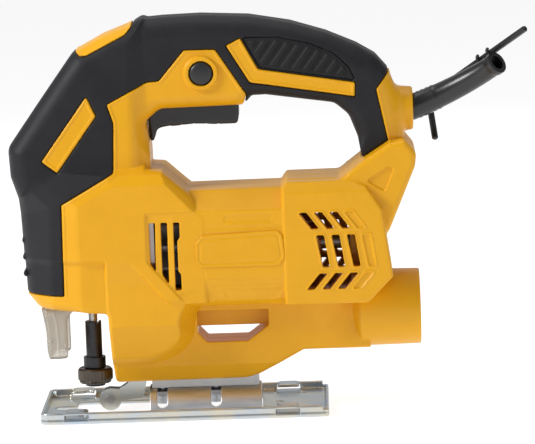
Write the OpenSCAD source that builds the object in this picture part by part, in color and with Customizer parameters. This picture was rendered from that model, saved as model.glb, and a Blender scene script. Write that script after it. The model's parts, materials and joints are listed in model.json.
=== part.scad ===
// Top-handle jigsaw, 160 mm class, corded. Millimetres.
// +X rearwards, -X towards the blade, -Y the tool's left side, +Z up.
// Origin: on the sole plane, under the plunger.

/* [Shoe] */
// width of the shoe plate
shoe_w = 74; // [68:1:80]
// thickness of the stamped shoe plate
shoe_t = 2; // [1.5:0.1:3]
// height of the turned-up rim above the sole
rim_h = 6; // [4:0.5:8]
// outer radius of the half-round saddle
saddle_r = 19.5; // [18:0.5:22]

/* [Drive] */
// half of the blade stroke
crank_r = 9; // [7:0.5:10]
// height of the motor axis above the sole
motor_z = 89; // [86:0.5:92]
// gear module
gear_m = 1; // [0.8:0.1:1.2]

/* [Dust port] */
// outer radius of the dust port
port_r = 20.7; // [18:0.1:23]
// bore radius of the dust port
port_bore = 17.5; // [15:0.1:18]

/* [Key] */
// width across flats of the hex key
key_af = 3; // [2.5:0.5:5]

/* [Show] */
// sub-part to show

/* [Hidden] */
$fn = 64;
eps = 0.01;
pivot_z = -6;
gear_z = motor_z + 26*gear_m;
crank_z = gear_z - crank_r;
sw = shoe_w/2;
yel = [0.93,0.66,0.10]; blk = [0.09,0.09,0.10]; steel = [0.70,0.70,0.72];
dark = [0.22,0.21,0.20]; brs = [0.80,0.62,0.30]; cop = [0.72,0.42,0.22];

// ---- helpers ----
module xz(y0,y1,p) translate([0,y1,0]) rotate([90,0,0]) linear_extrude(height=y1-y0) polygon(p);
module yz(x0,x1,p) translate([x0,0,0]) rotate([90,0,90]) linear_extrude(height=x1-x0) polygon(p);
module xc(r,x0,x1,z,y=0) translate([x0,y,z]) rotate([0,90,0]) cylinder(r=r,h=x1-x0);
module yc(r,y0,y1,x,z) translate([x,y0,z]) rotate([-90,0,0]) cylinder(r=r,h=y1-y0);
module zc(r,z0,z1,x=0,y=0) translate([x,y,z0]) cylinder(r=r,h=z1-z0);
module bx(x0,x1,y0,y1,z0,z1) translate([x0,y0,z0]) cube([x1-x0,y1-y0,z1-z0]);
port_x = 146; port_z = 52.3; port_top = 73.5;
module side(s) { if (s<0) bx(-60,260,-60,0,-20,240); else bx(-60,260,0,60,-20,240); }
function un(v) = v/norm(v);
// mitred inset of a clockwise or counter-clockwise outline
function area(p) = let(n=len(p)) [for(i=0,s=0;i<n;s=s+p[i][0]*p[(i+1)%n][1]-p[(i+1)%n][0]*p[i][1],i=i+1) s+p[i][0]*p[(i+1)%n][1]-p[(i+1)%n][0]*p[i][1]][n-1]/2;
function inset(p,d) = let(n=len(p), s=sign(area(p))) [for(i=[0:n-1])
  let(a=p[(i+n-1)%n], b=p[i], c=p[(i+1)%n],
      u=un(b-a), v=un(c-b), n1=[-u[1],u[0]]*s, n2=[-v[1],v[0]]*s)
  b + d*(n1+n2)/(1+n1*n2)];

// ---- side outlines, [x, z] ----
h_out = [[-39.5,131],[-40.4,146],[-22,171.5],[-4,196],[12,204.5],[28,210.5],[44,213.6],[64,214.4],[90,213],
 [112,209],[131,203],[147,196],[157,190],[163.8,182],[167,173],[170,160],[171.2,146],[177,138],[176.4,132.7],
 [162,98],[100,96],[0,96],[-30,100]];
hole = [[35.3,134.1],[41.5,133.4],[54.5,121.8],[105.5,122.4],[107.5,125.6],[135.8,126],[148.5,135.2],
 [146.5,147],[142,159],[134.5,165.5],[98,171],[84,166.2],[40,165.6],[33.8,160.8]];
u_out = [[-39.5,131],[-40.4,146],[-22,171.5],[-4,196],[12,204.5],[28,210.5],[33.7,211.6],[33.7,131]];
f_out = [[-34,66.7],[-27.3,59.6],[-1.8,58],[9.9,57.4],[11,34.6],[29.5,35.6],[43.4,40],[46.4,49.7],[53,59.3],
 [62,75],[62,112],[54.5,121.8],[41.5,133.4],[33.7,134],[33.7,146],[-40.4,146],[-36.7,118.5],[-35,84]];
b_out = [[50,59.3],[110,59.3],[110,121.7],[50,121.7]];
r_out = [[105,59.3],[149,59.3],[163,73.5],[158,109.5],[150,122],[141,126],[107.5,125.6],[105,122]];
hump = [[120,118],[135.8,126],[148.5,135.2],[163,144.5],[171.2,146],[177,138],[176.4,132.7],[162,98],[150,80],[120,80]];
s_out = [[9.8,60],[10.6,34],[11.4,26],[146,26],[146,62],[9.8,62]];
s_low = [[9.8,60],[11.8,17],[83,17.5],[90,19.7],[114,32.5],[146,32.4],[146,62]];
window = [[57.1,55],[95.3,55],[95.3,46.5],[84,38.3],[62,38.3],[57.1,43.5]];
window_low = [[57.1,45.5],[93.9,45.5],[84,38.3],[62,38.3],[57.1,43.5]];
// regions of the soft black overmould
black = [[-50,67.3],[-13.4,67.3],[-12.5,117],[15.6,132.9],[17.2,160.6],[13.5,169.5],[34.7,180.1],[41.1,180.4],
 [55.1,196.5],[72.1,196.4],[87.7,171.9],[86.7,167.9],[84,163],[98,164],[132,160],[140,155],[143,130],[148.4,136.2],[162.5,145],
 [156.9,172.4],[163.6,181.4],[172,192],[150,225],[0,225],[-50,165]];
slash = [[2.5,173.9],[7.4,163.3],[-14.3,133.6],[-22.6,139.9]];
lens = [[-6,200],[-0.4,195.2],[2.8,195.1],[25.1,206.2],[30,214],[8,214]];
strip = [[77.7,198.3],[85.5,202.1],[94.5,185.3],[98.2,184.6],[145.9,176.6],[145.6,168.9],[97.9,176.9],[89.8,178.1]];
pad = [[86.3,202.2],[95.2,186.3],[98.4,185.4],[145.3,177.5],[142.9,184.7],[135.2,192.4],[121.5,198.2],[104,201.6]];
grip_cav = [[38,176],[98,176],[134,171],[146.5,164],[151.5,150],[152.5,136],[160,131],[169,137],[164.5,147],
 [159.5,172],[156,182],[147,190],[131,197],[112,203],[90,207],[64,208.4],[38,207]];
duct = [[5,23],[93,23],[120,36],[150,36],[150,56.5],[118,56.5],[96,34.5],[5,34.5]];

// ---- outer body ----
module octa(x0,x1,w,h,c,z) yz(x0,x1,[[-w,z-h+c],[-w+c,z-h],[w-c,z-h],[w,z-h+c],[w,z+h-c],[w-c,z+h],[-w+c,z+h],[-w,z+h-c]]);
module front_block(d) intersection() {
  xz(-32+d,32-d,inset(f_out,d));
  yz(-60,80,inset([[-32,50.5],[-25,34],[-25,20],[25,20],[25,34],[32,50.5],[32,160],[-32,160]],d));
}
module body_outer() {
  intersection() { octa(50,170,31,31.2,12,90.5); xz(-40,40,b_out); }
  intersection() {
    yz(100,170,[[-30,59.3],[30,59.3],[32,61.3],[32,120],[26.2,126],[-26.2,126],[-32,120],[-32,61.3]]);
    xz(-40,40,r_out);
  }
  xz(-27,27,hump);
  front_block(0);
  xz(-21.5,21.5,u_out);
  xz(-18,18,h_out);
  xz(-14,14,s_out);
  xz(-11,11,s_low);
  xc(11.5,158,176.5,160);
}
module handle_solid(d) {
  front_block(d);
  xz(-21.5+d,21.5-d,inset(u_out,d));
  xz(-18+d,18-d,inset(h_out,d));
}
module black_zone() difference() {
  xz(-41,41,black);
  for(p=[slash,lens,strip,pad]) xz(-42,42,p);
}
skin = 2.2;
module black_skin() difference() {
  intersection() { black_zone(); difference() { handle_solid(0); difference() { handle_solid(skin); xz(-42,42,inset(hole,-skin)); } } }
  xz(-45,45,hole);
}
module pad_skin() intersection() { xz(-41,41,inset(pad,0.05)); difference() { xz(-18.4,18.4,h_out); xz(-16.2,16.2,h_out); } }
screws = [[-27,130],[24,190],[128,184],[170,128],[45,123],[140,121.6],[38,52],[100.5,50],[-27,72]];

module cavities() {
  xc(28,37.5,140.5,motor_z);
  xc(9.5,140,148,motor_z);
  bx(-20,38,-26,26,66,131);
  bx(-20,31.5,-19,19,130,151);
  zc(5.5,150,173);
  zc(7,50,67);
  difference() { xz(-14.5,14.5,grip_cav); yc(4,-15,15,128,184); }
  xz(-12,12,[[150,138],[160,133],[156,108],[138,108],[138,113]]);
  xz(-9,9,duct);
  // room for the port block
  bx(port_x,181,-45,45,20,port_top);
  // trigger pocket and its spring bore
  bx(33.7,83.6,-8.4,8.4,150,173.8);
  zc(3.5,173,182,60,0);
  // lock button bore in the left flank
  yc(6.6,-30,-10,64,184);
  // gland bore and boot flange pocket
  xc(6.5,159,178,160);
  xc(7.8,173.5,178,160);
  xc(9,160.4,164.6,160);
  // rocker pocket, cam shaft bore, pin bore
  bx(17,32,-6.6,6.6,10,46);
  yc(3.05,-9,30,28,47);
  yc(1.55,-9.2,9.2,24,27);
  // seat pocket and bolt bores
  bx(30.9,89.1,-6.35,6.35,16,20);
  for(x=[36.5,65.5]) zc(2.5,19,22.4,x,0);
  // cooling slots on both flanks
  for(s=[-1,1]) scale([1,s,1]) {
    xz(18,36,[[33.6,106],[37,106],[36.6,79],[33.8,84]]);
    xz(18,36,[[40,106],[43.4,106],[43.4,72],[40,78]]);
    xz(18,36,[[46.7,106],[50,106],[50,98],[48.6,96],[48.6,80],[50,78],[50,69.6],[46.7,69.6]]);
    for(i=[0:2]) translate([8.2*i,0,0]) {
      xz(16,36,[[113.5,109.2],[117.7,109.2],[124.3,100.2],[120.3,100.2]]);
      xz(16,36,[[122.5,96.8],[126.7,96.8],[129.3,79.6],[125.7,79.6]]);
      xz(16,36,[[123.9,76.3],[128.2,76.3],[121,67.8],[116.8,67.8]]);
    }
  }
}
module screw_bores() for(p=screws) {
  yc(1.85,-9.4,1,p[0],p[1]);
  yc(2.1,-0.5,9.1,p[0],p[1]);
  yc(3.75,9,45,p[0],p[1]);
}
module body_solid() difference() {
  body_outer();
  xz(-45,45,hole);
  // see-through below, a recess on either side above
  xz(-45,45,window_low);
  for(s=[-1,1]) xz(s<0?-45:5,s<0?-5:45,window);
  yc(12,29,45,28,47);
  cavities();
  screw_bores();
}
module housing(s) color(yel) intersection() {
  difference() { body_solid(); black_skin(); pad_skin(); }
  side(s);
}
// each clamshell half in three stretches: motor and gear housing, strut below, handle above
module low_stretch() bx(9.9,260,-60,60,-20,59.3);
module high_stretch() { bx(-60,50,-60,60,134,260); bx(50,260,-60,60,126,260); }
module middle(s) difference() { housing(s); low_stretch(); high_stretch(); }
module housing_left() middle(-1);
module housing_right() middle(1);
module strut_left() intersection() { housing(-1); low_stretch(); }
module strut_right() intersection() { housing(1); low_stretch(); }
module handle_left() { intersection() { housing(-1); high_stretch(); } color(yel) difference() { yc(9.2,-19.4,-18,64,184); yc(6.6,-20,-17,64,184); } }
module handle_right() intersection() { housing(1); high_stretch(); }
module overmould(s) color(blk) intersection() { difference() { black_skin(); screw_bores(); if (s<0) yc(9.25,-30,-10,64,184); xc(9.5,155,180,160); } side(s); }
module overmould_left() overmould(-1);
module overmould_right() overmould(1);
module grip_pad_left() color([0.16,0.16,0.17]) intersection() { pad_skin(); side(-1); }
module grip_pad_right() color([0.16,0.16,0.17]) intersection() { difference() { pad_skin(); screw_bores(); } side(1); }
// rear corner of the barrel with the dust port through it
module port_block() color(yel) difference() {
  union() {
    xc(port_r,port_x,177.4,port_z);
    intersection() {
      xz(-33,33,[[port_x,59.3],[149,59.3],[163,73.5],[port_x,73.5]]);
      yz(port_x-1,170,[[-30,59.3],[30,59.3],[32,61.3],[32,73.5],[-32,73.5],[-32,61.3]]);
    }
  }
  xc(port_bore,port_x-1,180,port_z);
}
badge = [[62.4,84.5],[65,81.3],[101.4,81.3],[104.6,85.3],[103.8,97.6],[101.2,100],[65,98.6],[62.4,95]];
module badge_plates() color([0.90,0.63,0.10]) for(s=[-1,1]) xz(s<0?-31.8:31, s<0?-31:31.8, badge);
module screw1() {
  difference() { yc(3.5,9.1,11.6,0,0); yc(1.6,10.4,12,0,0); }
  yc(1.8,-9,9.1,0,0);
}
module housing_screws() color(steel) for(p=screws) translate([p[0],0,p[1]]) screw1();

// ---- gear case and bearings ----
module gear_frame() color([0.66,0.67,0.68]) difference() {
  union() {
    yz(29,36,[[-21,74],[21,74],[25.5,84],[25.5,118],[18,130.5],[-18,130.5],[-25.5,118],[-25.5,84]]);
    bx(-8,29.5,-10,10,71,82);
    bx(-8,29.5,-10,10,139,147);
    bx(29,31.2,-10,10,129,147);
    zc(9,71,82); zc(9,139,147);
  }
  zc(7,70,90); zc(6.5,138,148);
  xc(11,28,37,motor_z);
  xc(4,28,37,gear_z);
}
module ring_x(ro,ri,x0,x1) difference() { xc(ro,x0,x1,motor_z); xc(ri,x0-1,x1+1,motor_z); }
module front_bearing() color(steel) difference() { ring_x(11,4.06,29,36); for(x=[28,35.4]) difference() { xc(9,x,x+1.6,motor_z); xc(6,x-1,x+3,motor_z);} }
module rear_bearing() color(steel) difference() { ring_x(9.5,3.06,141,147); for(x=[140,146.4]) difference() { xc(7.8,x,x+1.6,motor_z); xc(5,x-1,x+3,motor_z);} }
module gear_axle() color(steel) { xc(4,15.2,35.8,gear_z); }
module bush_lower() color(brs) difference() { union() { zc(7,71,88); zc(8.6,82,83.5);} zc(4.05,70,90); }
module bush_upper() color(brs) difference() { union() { zc(6.5,139,150); zc(8,147,148.5);} zc(4.05,138,151); }

// ---- motor ----
module armature_shaft() color(steel) { xc(2.5,16.2,28.2,motor_z); xc(4,28.2,140.6,motor_z); xc(3,140.6,147,motor_z); }
n_slot = 12;
module armature_stack() color([0.35,0.35,0.37]) difference() {
  xc(18.6,60,98,motor_z); xc(4,59,99,motor_z);
  for(i=[0:n_slot-1]) translate([0,0,motor_z]) rotate([i*360/n_slot,0,0]) { bx(59,99,-1.9,1.9,12,17.6); bx(59,99,-0.8,0.8,17,20); }
}
module armature_windings() color(cop) translate([0,0,0]) {
  for(a=[[53,60],[98,105.5]]) difference() { union() { ring_x(16.4,4.05,a[0]+1.5,a[1]-1.5+0); ring_x(17.4,7,a[0]+2.5,a[1]-1.5); ring_x(14.5,4.05,a[0],a[1]); } }
  for(i=[0:n_slot-1]) translate([0,0,motor_z]) rotate([i*360/n_slot,0,0]) bx(58,99.5,-1.8,1.8,12.1,17.4);
}
module commutator() color([0.75,0.50,0.30]) difference() {
  union() { xc(11,109,125,motor_z); xc(12.4,106,109.2,motor_z); }
  xc(4,100,130,motor_z);
  for(i=[0:23]) translate([0,0,motor_z]) rotate([i*15,0,0]) bx(109.5,126,-0.3,0.3,10.2,12);
}
module fan() color([0.55,0.54,0.52]) difference() {
  union() {
    xc(8,38,51,motor_z); xc(25,49.3,51,motor_z);
    for(i=[0:12]) translate([0,0,motor_z]) rotate([i*360/13,0,0]) bx(38.4,49.6,-0.8,0.8,6.5,24.8);
  }
  xc(4,37,52,motor_z);
}
module leg_slots() difference() {
  intersection() { ring_x(23.3,18.5,59,99); wedge(50,110,7); }
  wedge(58,100,34);
}
module field_stator() color([0.42,0.42,0.44]) difference() {
  intersection() { xc(27.6,60,98,motor_z); bx(50,110,-25.5,25.5,50,130); }
  xc(19.3,59,99,motor_z);
  leg_slots();
  translate([0,0,2*motor_z]) scale([1,-1,-1]) leg_slots();
}
module wedge(x0,x1,a) translate([0,0,motor_z]) yz(x0,x1,[[0,0],[60*cos(a),60*sin(a)],[60*cos(a),90],[-60*cos(a),90],[-60*cos(a),60*sin(a)]]);
module coil() difference() {
  intersection() { ring_x(23.2,19.9,53.5,104.5); wedge(50,110,8); }
  wedge(60,98,33);
}
module field_coils() color(cop) { coil(); translate([0,0,2*motor_z]) scale([1,-1,-1]) coil(); }
module brush_holders() color(brs) for(s=[-1,1]) scale([1,s,1]) difference() {
  bx(112.4,123.6,12.6,26.9,motor_z-6,motor_z+6);
  bx(113.9,122.1,12,26,motor_z-4.4,motor_z+4.4);
}
module brushes() color([0.20,0.20,0.21]) for(s=[-1,1]) scale([1,s,1]) difference() {
  bx(114,122,9,21,motor_z-4.3,motor_z+4.3);
  xc(11.05,110,126,motor_z);
}
module brush_springs() color(steel) for(s=[-1,1]) scale([1,s,1]) difference() {
  yc(3,21,26,118,motor_z); yc(2.2,20,27,118,motor_z);
}

// ---- gears: 20 degree involutes, shifted profiles, a little backlash ----
pn = 8; gn = 44; shift = 0.4;
function inv(a) = tan(a)*180/PI - a;
function flank(rb,ra,h,n) = [for(i=[0:n]) let(r=rb+(ra-rb)*i/n, t=acos(min(1,rb/r))) [r, h-inv(t)]];
module gear2d(z,x,m) {
  r = m*z/2; rb = r*cos(20); ra = r+m*(0.85+x); rf = r+m*(x-1.2);
  h = (90/z) + (2*x*tan(20)/z)*180/PI + inv(20) - (0.07/r)*180/PI;
  f = flank(max(rb,rf),ra,h,6);
  pts = [for(k=[0:z-1]) each concat(
    [[rf, k*360/z-h]],
    [for(i=[0:6]) [f[i][0], k*360/z-f[i][1]]],
    [for(i=[6:-1:0]) [f[i][0], k*360/z+f[i][1]]],
    [[rf, k*360/z+h]])];
  polygon([for(p=pts) [p[0]*cos(p[1]), p[0]*sin(p[1])]]);
}
module pinion() color(steel) translate([17,0,motor_z]) difference() {
  rotate([90,0,90]) linear_extrude(height=11) rotate(90) gear2d(pn,shift,gear_m);
  rotate([0,90,0]) translate([0,0,-1]) cylinder(r=2.5,h=14);
}
module drive_gear() color(steel) translate([0,0,gear_z]) {
  difference() {
    union() {
      translate([18,0,0]) rotate([90,0,90]) linear_extrude(height=8) rotate(-90+180/gn) gear2d(gn,-shift,gear_m);
      rotate([0,90,0]) translate([0,0,15.2]) cylinder(r=8,h=12.6);
      rotate([0,90,0]) translate([0,0,16.6]) cylinder(r=14.5,h=1.5);
    }
    rotate([0,90,0]) translate([0,0,10]) cylinder(r=4.06,h=30);
    for(a=[40:70:320]) rotate([a,0,0]) rotate([0,90,0]) translate([15.8,0,10]) cylinder(r=3.2,h=20);
  }
  rotate([0,90,0]) translate([crank_r,0,13.4]) cylinder(r=3,h=4);
}
module slider_block() color(brs) difference() {
  bx(6.9,13.0,-6,6,crank_z-6,crank_z+6);
  xc(3.06,9,14,crank_z);
}
module yoke() color([0.45,0.45,0.47]) difference() {
  bx(1.5,13,-18.4,18.4,crank_z-9.4,crank_z+9.4);
  bx(6.8,14,-15.4,15.4,crank_z-6.06,crank_z+6.06);
  zc(4,80,130);
}
module plunger_rod() color([0.30,0.30,0.31]) { zc(2.4,49.5,57); zc(4,57,152); }

// ---- blade clamp ----
module chuck_body() color(blk) difference() {
  union() { zc(4.4,30,49.5); zc(6,24.5,30.1); zc(5,15.3,24.6); }
  bx(-3.7,3.7,-0.9,0.9,10,34);
  bx(1.9,3.0,-6,6,48.4,50);
}
module chuck_tip() color(blk) difference() { zc(5.2,14.2,15.3); bx(-3.7,3.7,-0.9,0.9,10,34); }
module chuck_spring() color(steel) difference() { zc(6.9,20.4,24.3); zc(5.4,20,25); }
module chuck_ring() color(dark) difference() {
  union() { zc(9.4,17,24.2); zc(8.6,15.5,24); translate([0,0,16.2]) rotate([0,0,20]) bx(0,9.9,-1.6,1.6,0,7); }
  zc(5.06,10,30); zc(7.1,20.1,30);
}

// ---- blade support ----
module roller_bracket() color(steel) for(s=[-1,1]) scale([1,s,1]) {
  difference() {
    union() {
      yc(6,2.9,4.2,8,6.6);
      xz(2.9,4.2,[[8,12.5],[13,12.2],[17.6,15.2],[20.6,20],[20.6,27],[22,43],[24.4,43.2],[27.5,27],[27.4,14],[25.8,7.2],[14,5.6],[8,1.2]]);
      if (s>0) xz(-2.95,2.95,[[21.8,30.4],[22.1,42.9],[24.4,43.1],[25.9,30.4]]);
    }
    yc(1.5,2,5,8,6.6);
    yc(1.55,2,5,24,27);
  }
}
module rocker_pin() color(steel) yc(1.5,-9,9,24,27);
module roller_pin() color(steel) { yc(1.5,-4.2,4.2,8,6.6); for(s=[-1,1]) yc(2.6, s<0?-4.9:4.2, s<0?-4.2:4.9, 8,6.6); }
module blade_roller() color(steel) difference() {
  yc(5,-2.6,2.6,8,6.6);
  difference() { yc(6,-0.8,0.8,8,6.6); yc(4,-1,1,8,6.6); }
  yc(1.56,-3,3,8,6.6);
}
module orbit_shaft() color(steel) difference() { yc(3,-6,28.9,28,47); bx(26,30,-6.5,-1,49.2,51); }
module orbit_knob() color(blk) difference() {
  union() { yc(9,29.3,32.5,28,47); translate([28,0,47]) rotate([0,-35,0]) bx(-3,11,32,36.4,-2.6,2.6); yc(4.5,32,36.4,28,47); }
  yc(3,20,31,28,47);
}

// ---- switch, trigger, lock ----
trig = [[35.6,147.3],[37.4,147.3],[39,154.4],[82.4,155.4],[83.2,160],[83.2,168],[34.1,168],[34.1,160]];
module trigger() color(blk) difference() {
  xz(-8,8,trig);
  zc(3.5,164.6,170,60,0);
}
module trigger_spring() color(steel) difference() { zc(3.1,164.7,181.8,60,0); zc(2.3,160,190,60,0); }
module lock_button() color(blk) { yc(6.2,-20.6,-13.2,64,184); yc(7.6,-14.4,-13.2,64,184); }
module lock_spring() color(steel) difference() { yc(3.2,-9.8,-3,64,184); yc(2.4,-11,-2,64,184); }
module switch_body() color([0.13,0.13,0.14]) difference() {
  bx(88.5,120,-10,10,179,197);
  for(s=[-1,1]) bx(118,121,s*5-2,s*5+2,182,186);
}
module capacitor() color([0.75,0.60,0.15]) bx(139,149,-8,8,177.5,186);
module cord_clamp() color(blk) difference() { bx(151.5,158,-9.5,9.5,154,157.4); for(s=[-1,1]) zc(1.6,150,160,154.7,s*7); xc(3.3,150,160,160); }
module clamp_screws() color(steel) for(s=[-1,1]) { zc(1.5,150,157.4,154.7,s*7); zc(2.8,157.4,159.2,154.7,s*7); }

// ---- cable boot and hex key ----
boot_p = [176.2,0,160.3];
d0 = [cos(20),0,sin(20)];
d1 = [cos(38)*cos(36),-sin(36),sin(38)*cos(36)];
bend = acos(d0*d1);
boot_R = 80;
nn = un(d1-(d0*d1)*d0);
bz = cross(-nn,d0);
boot_c = boot_p + boot_R*nn;
boot_e = boot_c - boot_R*(nn*cos(bend) - d0*sin(bend));
module frame3(o,x,y,z) multmatrix([[x[0],y[0],z[0],o[0]],[x[1],y[1],z[1],o[1]],[x[2],y[2],z[2],o[2]],[0,0,0,1]]) children();
key_d = d1;
key_up = un(cross(key_d,cross([0,-1,0],key_d)));
key_o = un([-0.03,0.60,0.80] - ([-0.03,0.60,0.80]*key_d)*key_d);
key_k = boot_e + 8.3*key_o;
key_s = un([0.120,-0.591,-0.797] - ([0.120,-0.591,-0.797]*key_d)*key_d);
key_c = key_k - 56*key_d;
kr = key_af/sqrt(3);
module cord_boot() color(blk) difference() {
  union() {
    frame3(boot_c,-nn,d0,bz) rotate_extrude(angle=bend) translate([boot_R,0]) circle(r=6.1);
    xc(6.4,163,178.7,160);
    xc(8.7,160.8,164.2,160);
    // clip for the key
    for(t=[-7,-15]) frame3(key_k+t*key_d,key_o,cross(key_d,key_o),key_d) translate([-4.2,-3,-2.5]) cube([6.6,6,5]);
  }
  frame3(boot_c,-nn,d0,bz) rotate([0,0,-2]) rotate_extrude(angle=bend+5) translate([boot_R,0]) circle(r=3.8);
  xc(4.4,160,177.4,160);
  for(t=[-11]) frame3(key_k+t*key_d,key_o,cross(key_d,key_o),key_d) translate([-kr-0.05,-key_af/2-0.2,-12]) cube([10,key_af+0.4,24]);
}
module hex_key() color(dark) difference() {
  union() {
    frame3(key_c,key_o,cross(key_d,key_o),key_d) cylinder(r=kr,h=80,$fn=6);
    frame3(key_c-(kr*0.5)*key_s,cross(key_s,key_d)*-1,key_d,key_s) cylinder(r=kr,h=26,$fn=6);
  }
  frame3(key_c,key_o,cross(key_d,key_o),key_d) translate([-4,-4,-9]) cube([8,8,9-kr*0.95]);
}

// ---- shoe ----
module saddle_seat() color([0.62,0.63,0.64]) difference() {
  bx(31,89,-6.3,6.3,11,20);
  xc(saddle_r+0.15,29,92,pivot_z);
  for(x=[36.5,65.5]) zc(2.45,5,25,x,0);
}
module clamp_plate() color(steel) difference() {
  intersection() { xc(saddle_r-2.15,31,71,pivot_z); bx(30,72,-5.9,5.9,7.8,20); }
  for(x=[36.5,65.5]) zc(2.45,5,25,x,0);
}
module shoe_bolts() color(steel) for(x=[36.5,65.5]) difference() {
  union() { zc(2.4,7.8,22.2,x,0); zc(4.2,3.4,7.8,x,0); }
  translate([x,0,2]) cylinder(r=key_af/sqrt(3)+0.05,h=4,$fn=6);
}
// side windows that take the bar of a rip fence
module fence_windows() for(s=[-1,1]) scale([1,s,1]) for(x=[-15,98]) bx(x,x+12.6,sw-3,sw+2,shoe_t,5);
module shoe_plate() color([0.72,0.76,0.80]) difference() {
  union() {
    bx(-26,124,-sw+2.5,sw-2.5,0,shoe_t);
    // rim with rolled lower edge
    for(s=[-1,1]) scale([1,s,1]) yz(-22,126.3,[[sw-3,0],[sw-0.8,0],[sw,0.8],[sw,rim_h-0.6],[sw-0.6,rim_h],[sw-2,rim_h],[sw-2,shoe_t],[sw-3,shoe_t]]);
    xz(-sw+5,sw-5,[[-28,0.8],[-27.2,0],[-24,0],[-24,shoe_t],[-26,shoe_t],[-26,rim_h],[-27.4,rim_h],[-28,rim_h-0.6]]);
    for(s=[-1,1]) difference() { zc(6,0,rim_h,-22,s*(sw-6)); zc(4,shoe_t,rim_h+1,-22,s*(sw-6)); bx(-22,-10,-60,60,shoe_t,20); if (s>0) bx(-40,-10,-60,sw-6,shoe_t,20); else bx(-40,-10,-(sw-6),60,shoe_t,20); }
    xz(-sw+2,sw-2,[[123,0],[126.3,0],[126.3,4],[124.6,4],[124.6,shoe_t],[123,shoe_t]]);
    // raised arches over the rip fence bar
    for(s=[-1,1]) scale([1,s,1]) for(x=[-17,96]) difference() {
      xz(sw-11.4,sw,[[x,0.5],[x+2.4,rim_h-0.4],[x+4,rim_h+0.4],[x+12.6,rim_h+0.4],[x+14.2,rim_h-0.4],[x+16.6,0.5]]);
      xz(sw-14,sw+1,[[x+2,-1],[x+2,5],[x+14.6,5],[x+14.6,-1]]);
      bx(x-1,x+20,sw-14,sw+1,-1,shoe_t);
    }
  }
  // opening round the blade, the roller and the clamp bolts
  xz(-1,-0.9,[[0,0],[1,0],[1,1]]);
  bx(-18,-4,-4.5,4.5,-1,4);
  zc(4.5,-1,4,-18,0);
  bx(-10.5,29.5,-17,17,-1,shoe_t+1);
  bx(29.4,90.4,-16.6,16.6,-1,shoe_t+1);
  fence_windows();
}
module shoe_saddle() color([0.80,0.80,0.78]) difference() {
  intersection() { xc(saddle_r,29.6,90.4,pivot_z); bx(20,100,-30,30,shoe_t,30); }
  xc(saddle_r-2,29,91,pivot_z);
  for(x=[36.5,65.5]) {
    translate([x-2.65,0,pivot_z]) rotate([0,90,0]) rotate([0,0,128]) rotate_extrude(angle=104) translate([16,0]) square([6,5.3]);
    for(a=[-52,52]) translate([x,0,pivot_z]) rotate([a,0,0]) zc(2.65,12,24);
  }
}
module chip_guard() color([0.80,0.80,0.78,0.5]) {
  difference() {
    xz(-13,13,[[-27,58.9],[-24.9,46.6],[-24.6,36],[-23.6,31],[-12.9,31],[-12.9,53],[-10.5,56],[-7.4,58]]);
    xz(-11.5,11.5,[[-25.6,60],[-23.4,46.6],[-23.1,36],[-22,30],[0,30],[0,60]]);
    xz(-14,14,[[-17.5,30],[-17.5,33.4],[-12,33.4],[-12,30]]);
  }
  difference() {
    xz(-8,8,[[-23.6,31.5],[-21.4,23.5],[-18.9,17.6],[-17.4,16.2],[-16.2,17],[-16,20.4],[-17,19.2],[-17.8,18.4],[-19.6,22],[-20.6,26],[-16.6,26.4],[-16.6,31.5]]);
    xz(-6.6,6.6,[[-22.1,32],[-20,24],[0,22],[0,32]]);
  }
}

housing_left();
housing_right();
strut_left();
strut_right();
handle_left();
handle_right();
overmould_left();
overmould_right();
grip_pad_left();
grip_pad_right();
badge_plates();
housing_screws();
port_block();
gear_frame();
front_bearing();
rear_bearing();
gear_axle();
bush_lower();
bush_upper();
field_stator();
field_coils();
brush_holders();
brushes();
brush_springs();
switch_body();
capacitor();
cord_clamp();
clamp_screws();
cord_boot();
saddle_seat();
clamp_plate();
shoe_bolts();
rocker_pin();
trigger();
trigger_spring();
lock_button();
lock_spring();
armature_shaft();
armature_stack();
armature_windings();
commutator();
pinion();
fan();
drive_gear();
slider_block();
plunger_rod();
yoke();
chuck_body();
chuck_spring();
chuck_tip();
chuck_ring();
roller_bracket();
roller_pin();
blade_roller();
orbit_knob();
orbit_shaft();
shoe_plate();
shoe_saddle();
chip_guard();
hex_key();
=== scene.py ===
# Looks of the top-handle jigsaw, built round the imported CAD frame.
# Shapes are worked out in millimetres, and MM turns them into metres.
import json
import math

import bmesh
import bpy
import numpy as np
from mathutils import Matrix, Vector

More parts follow.
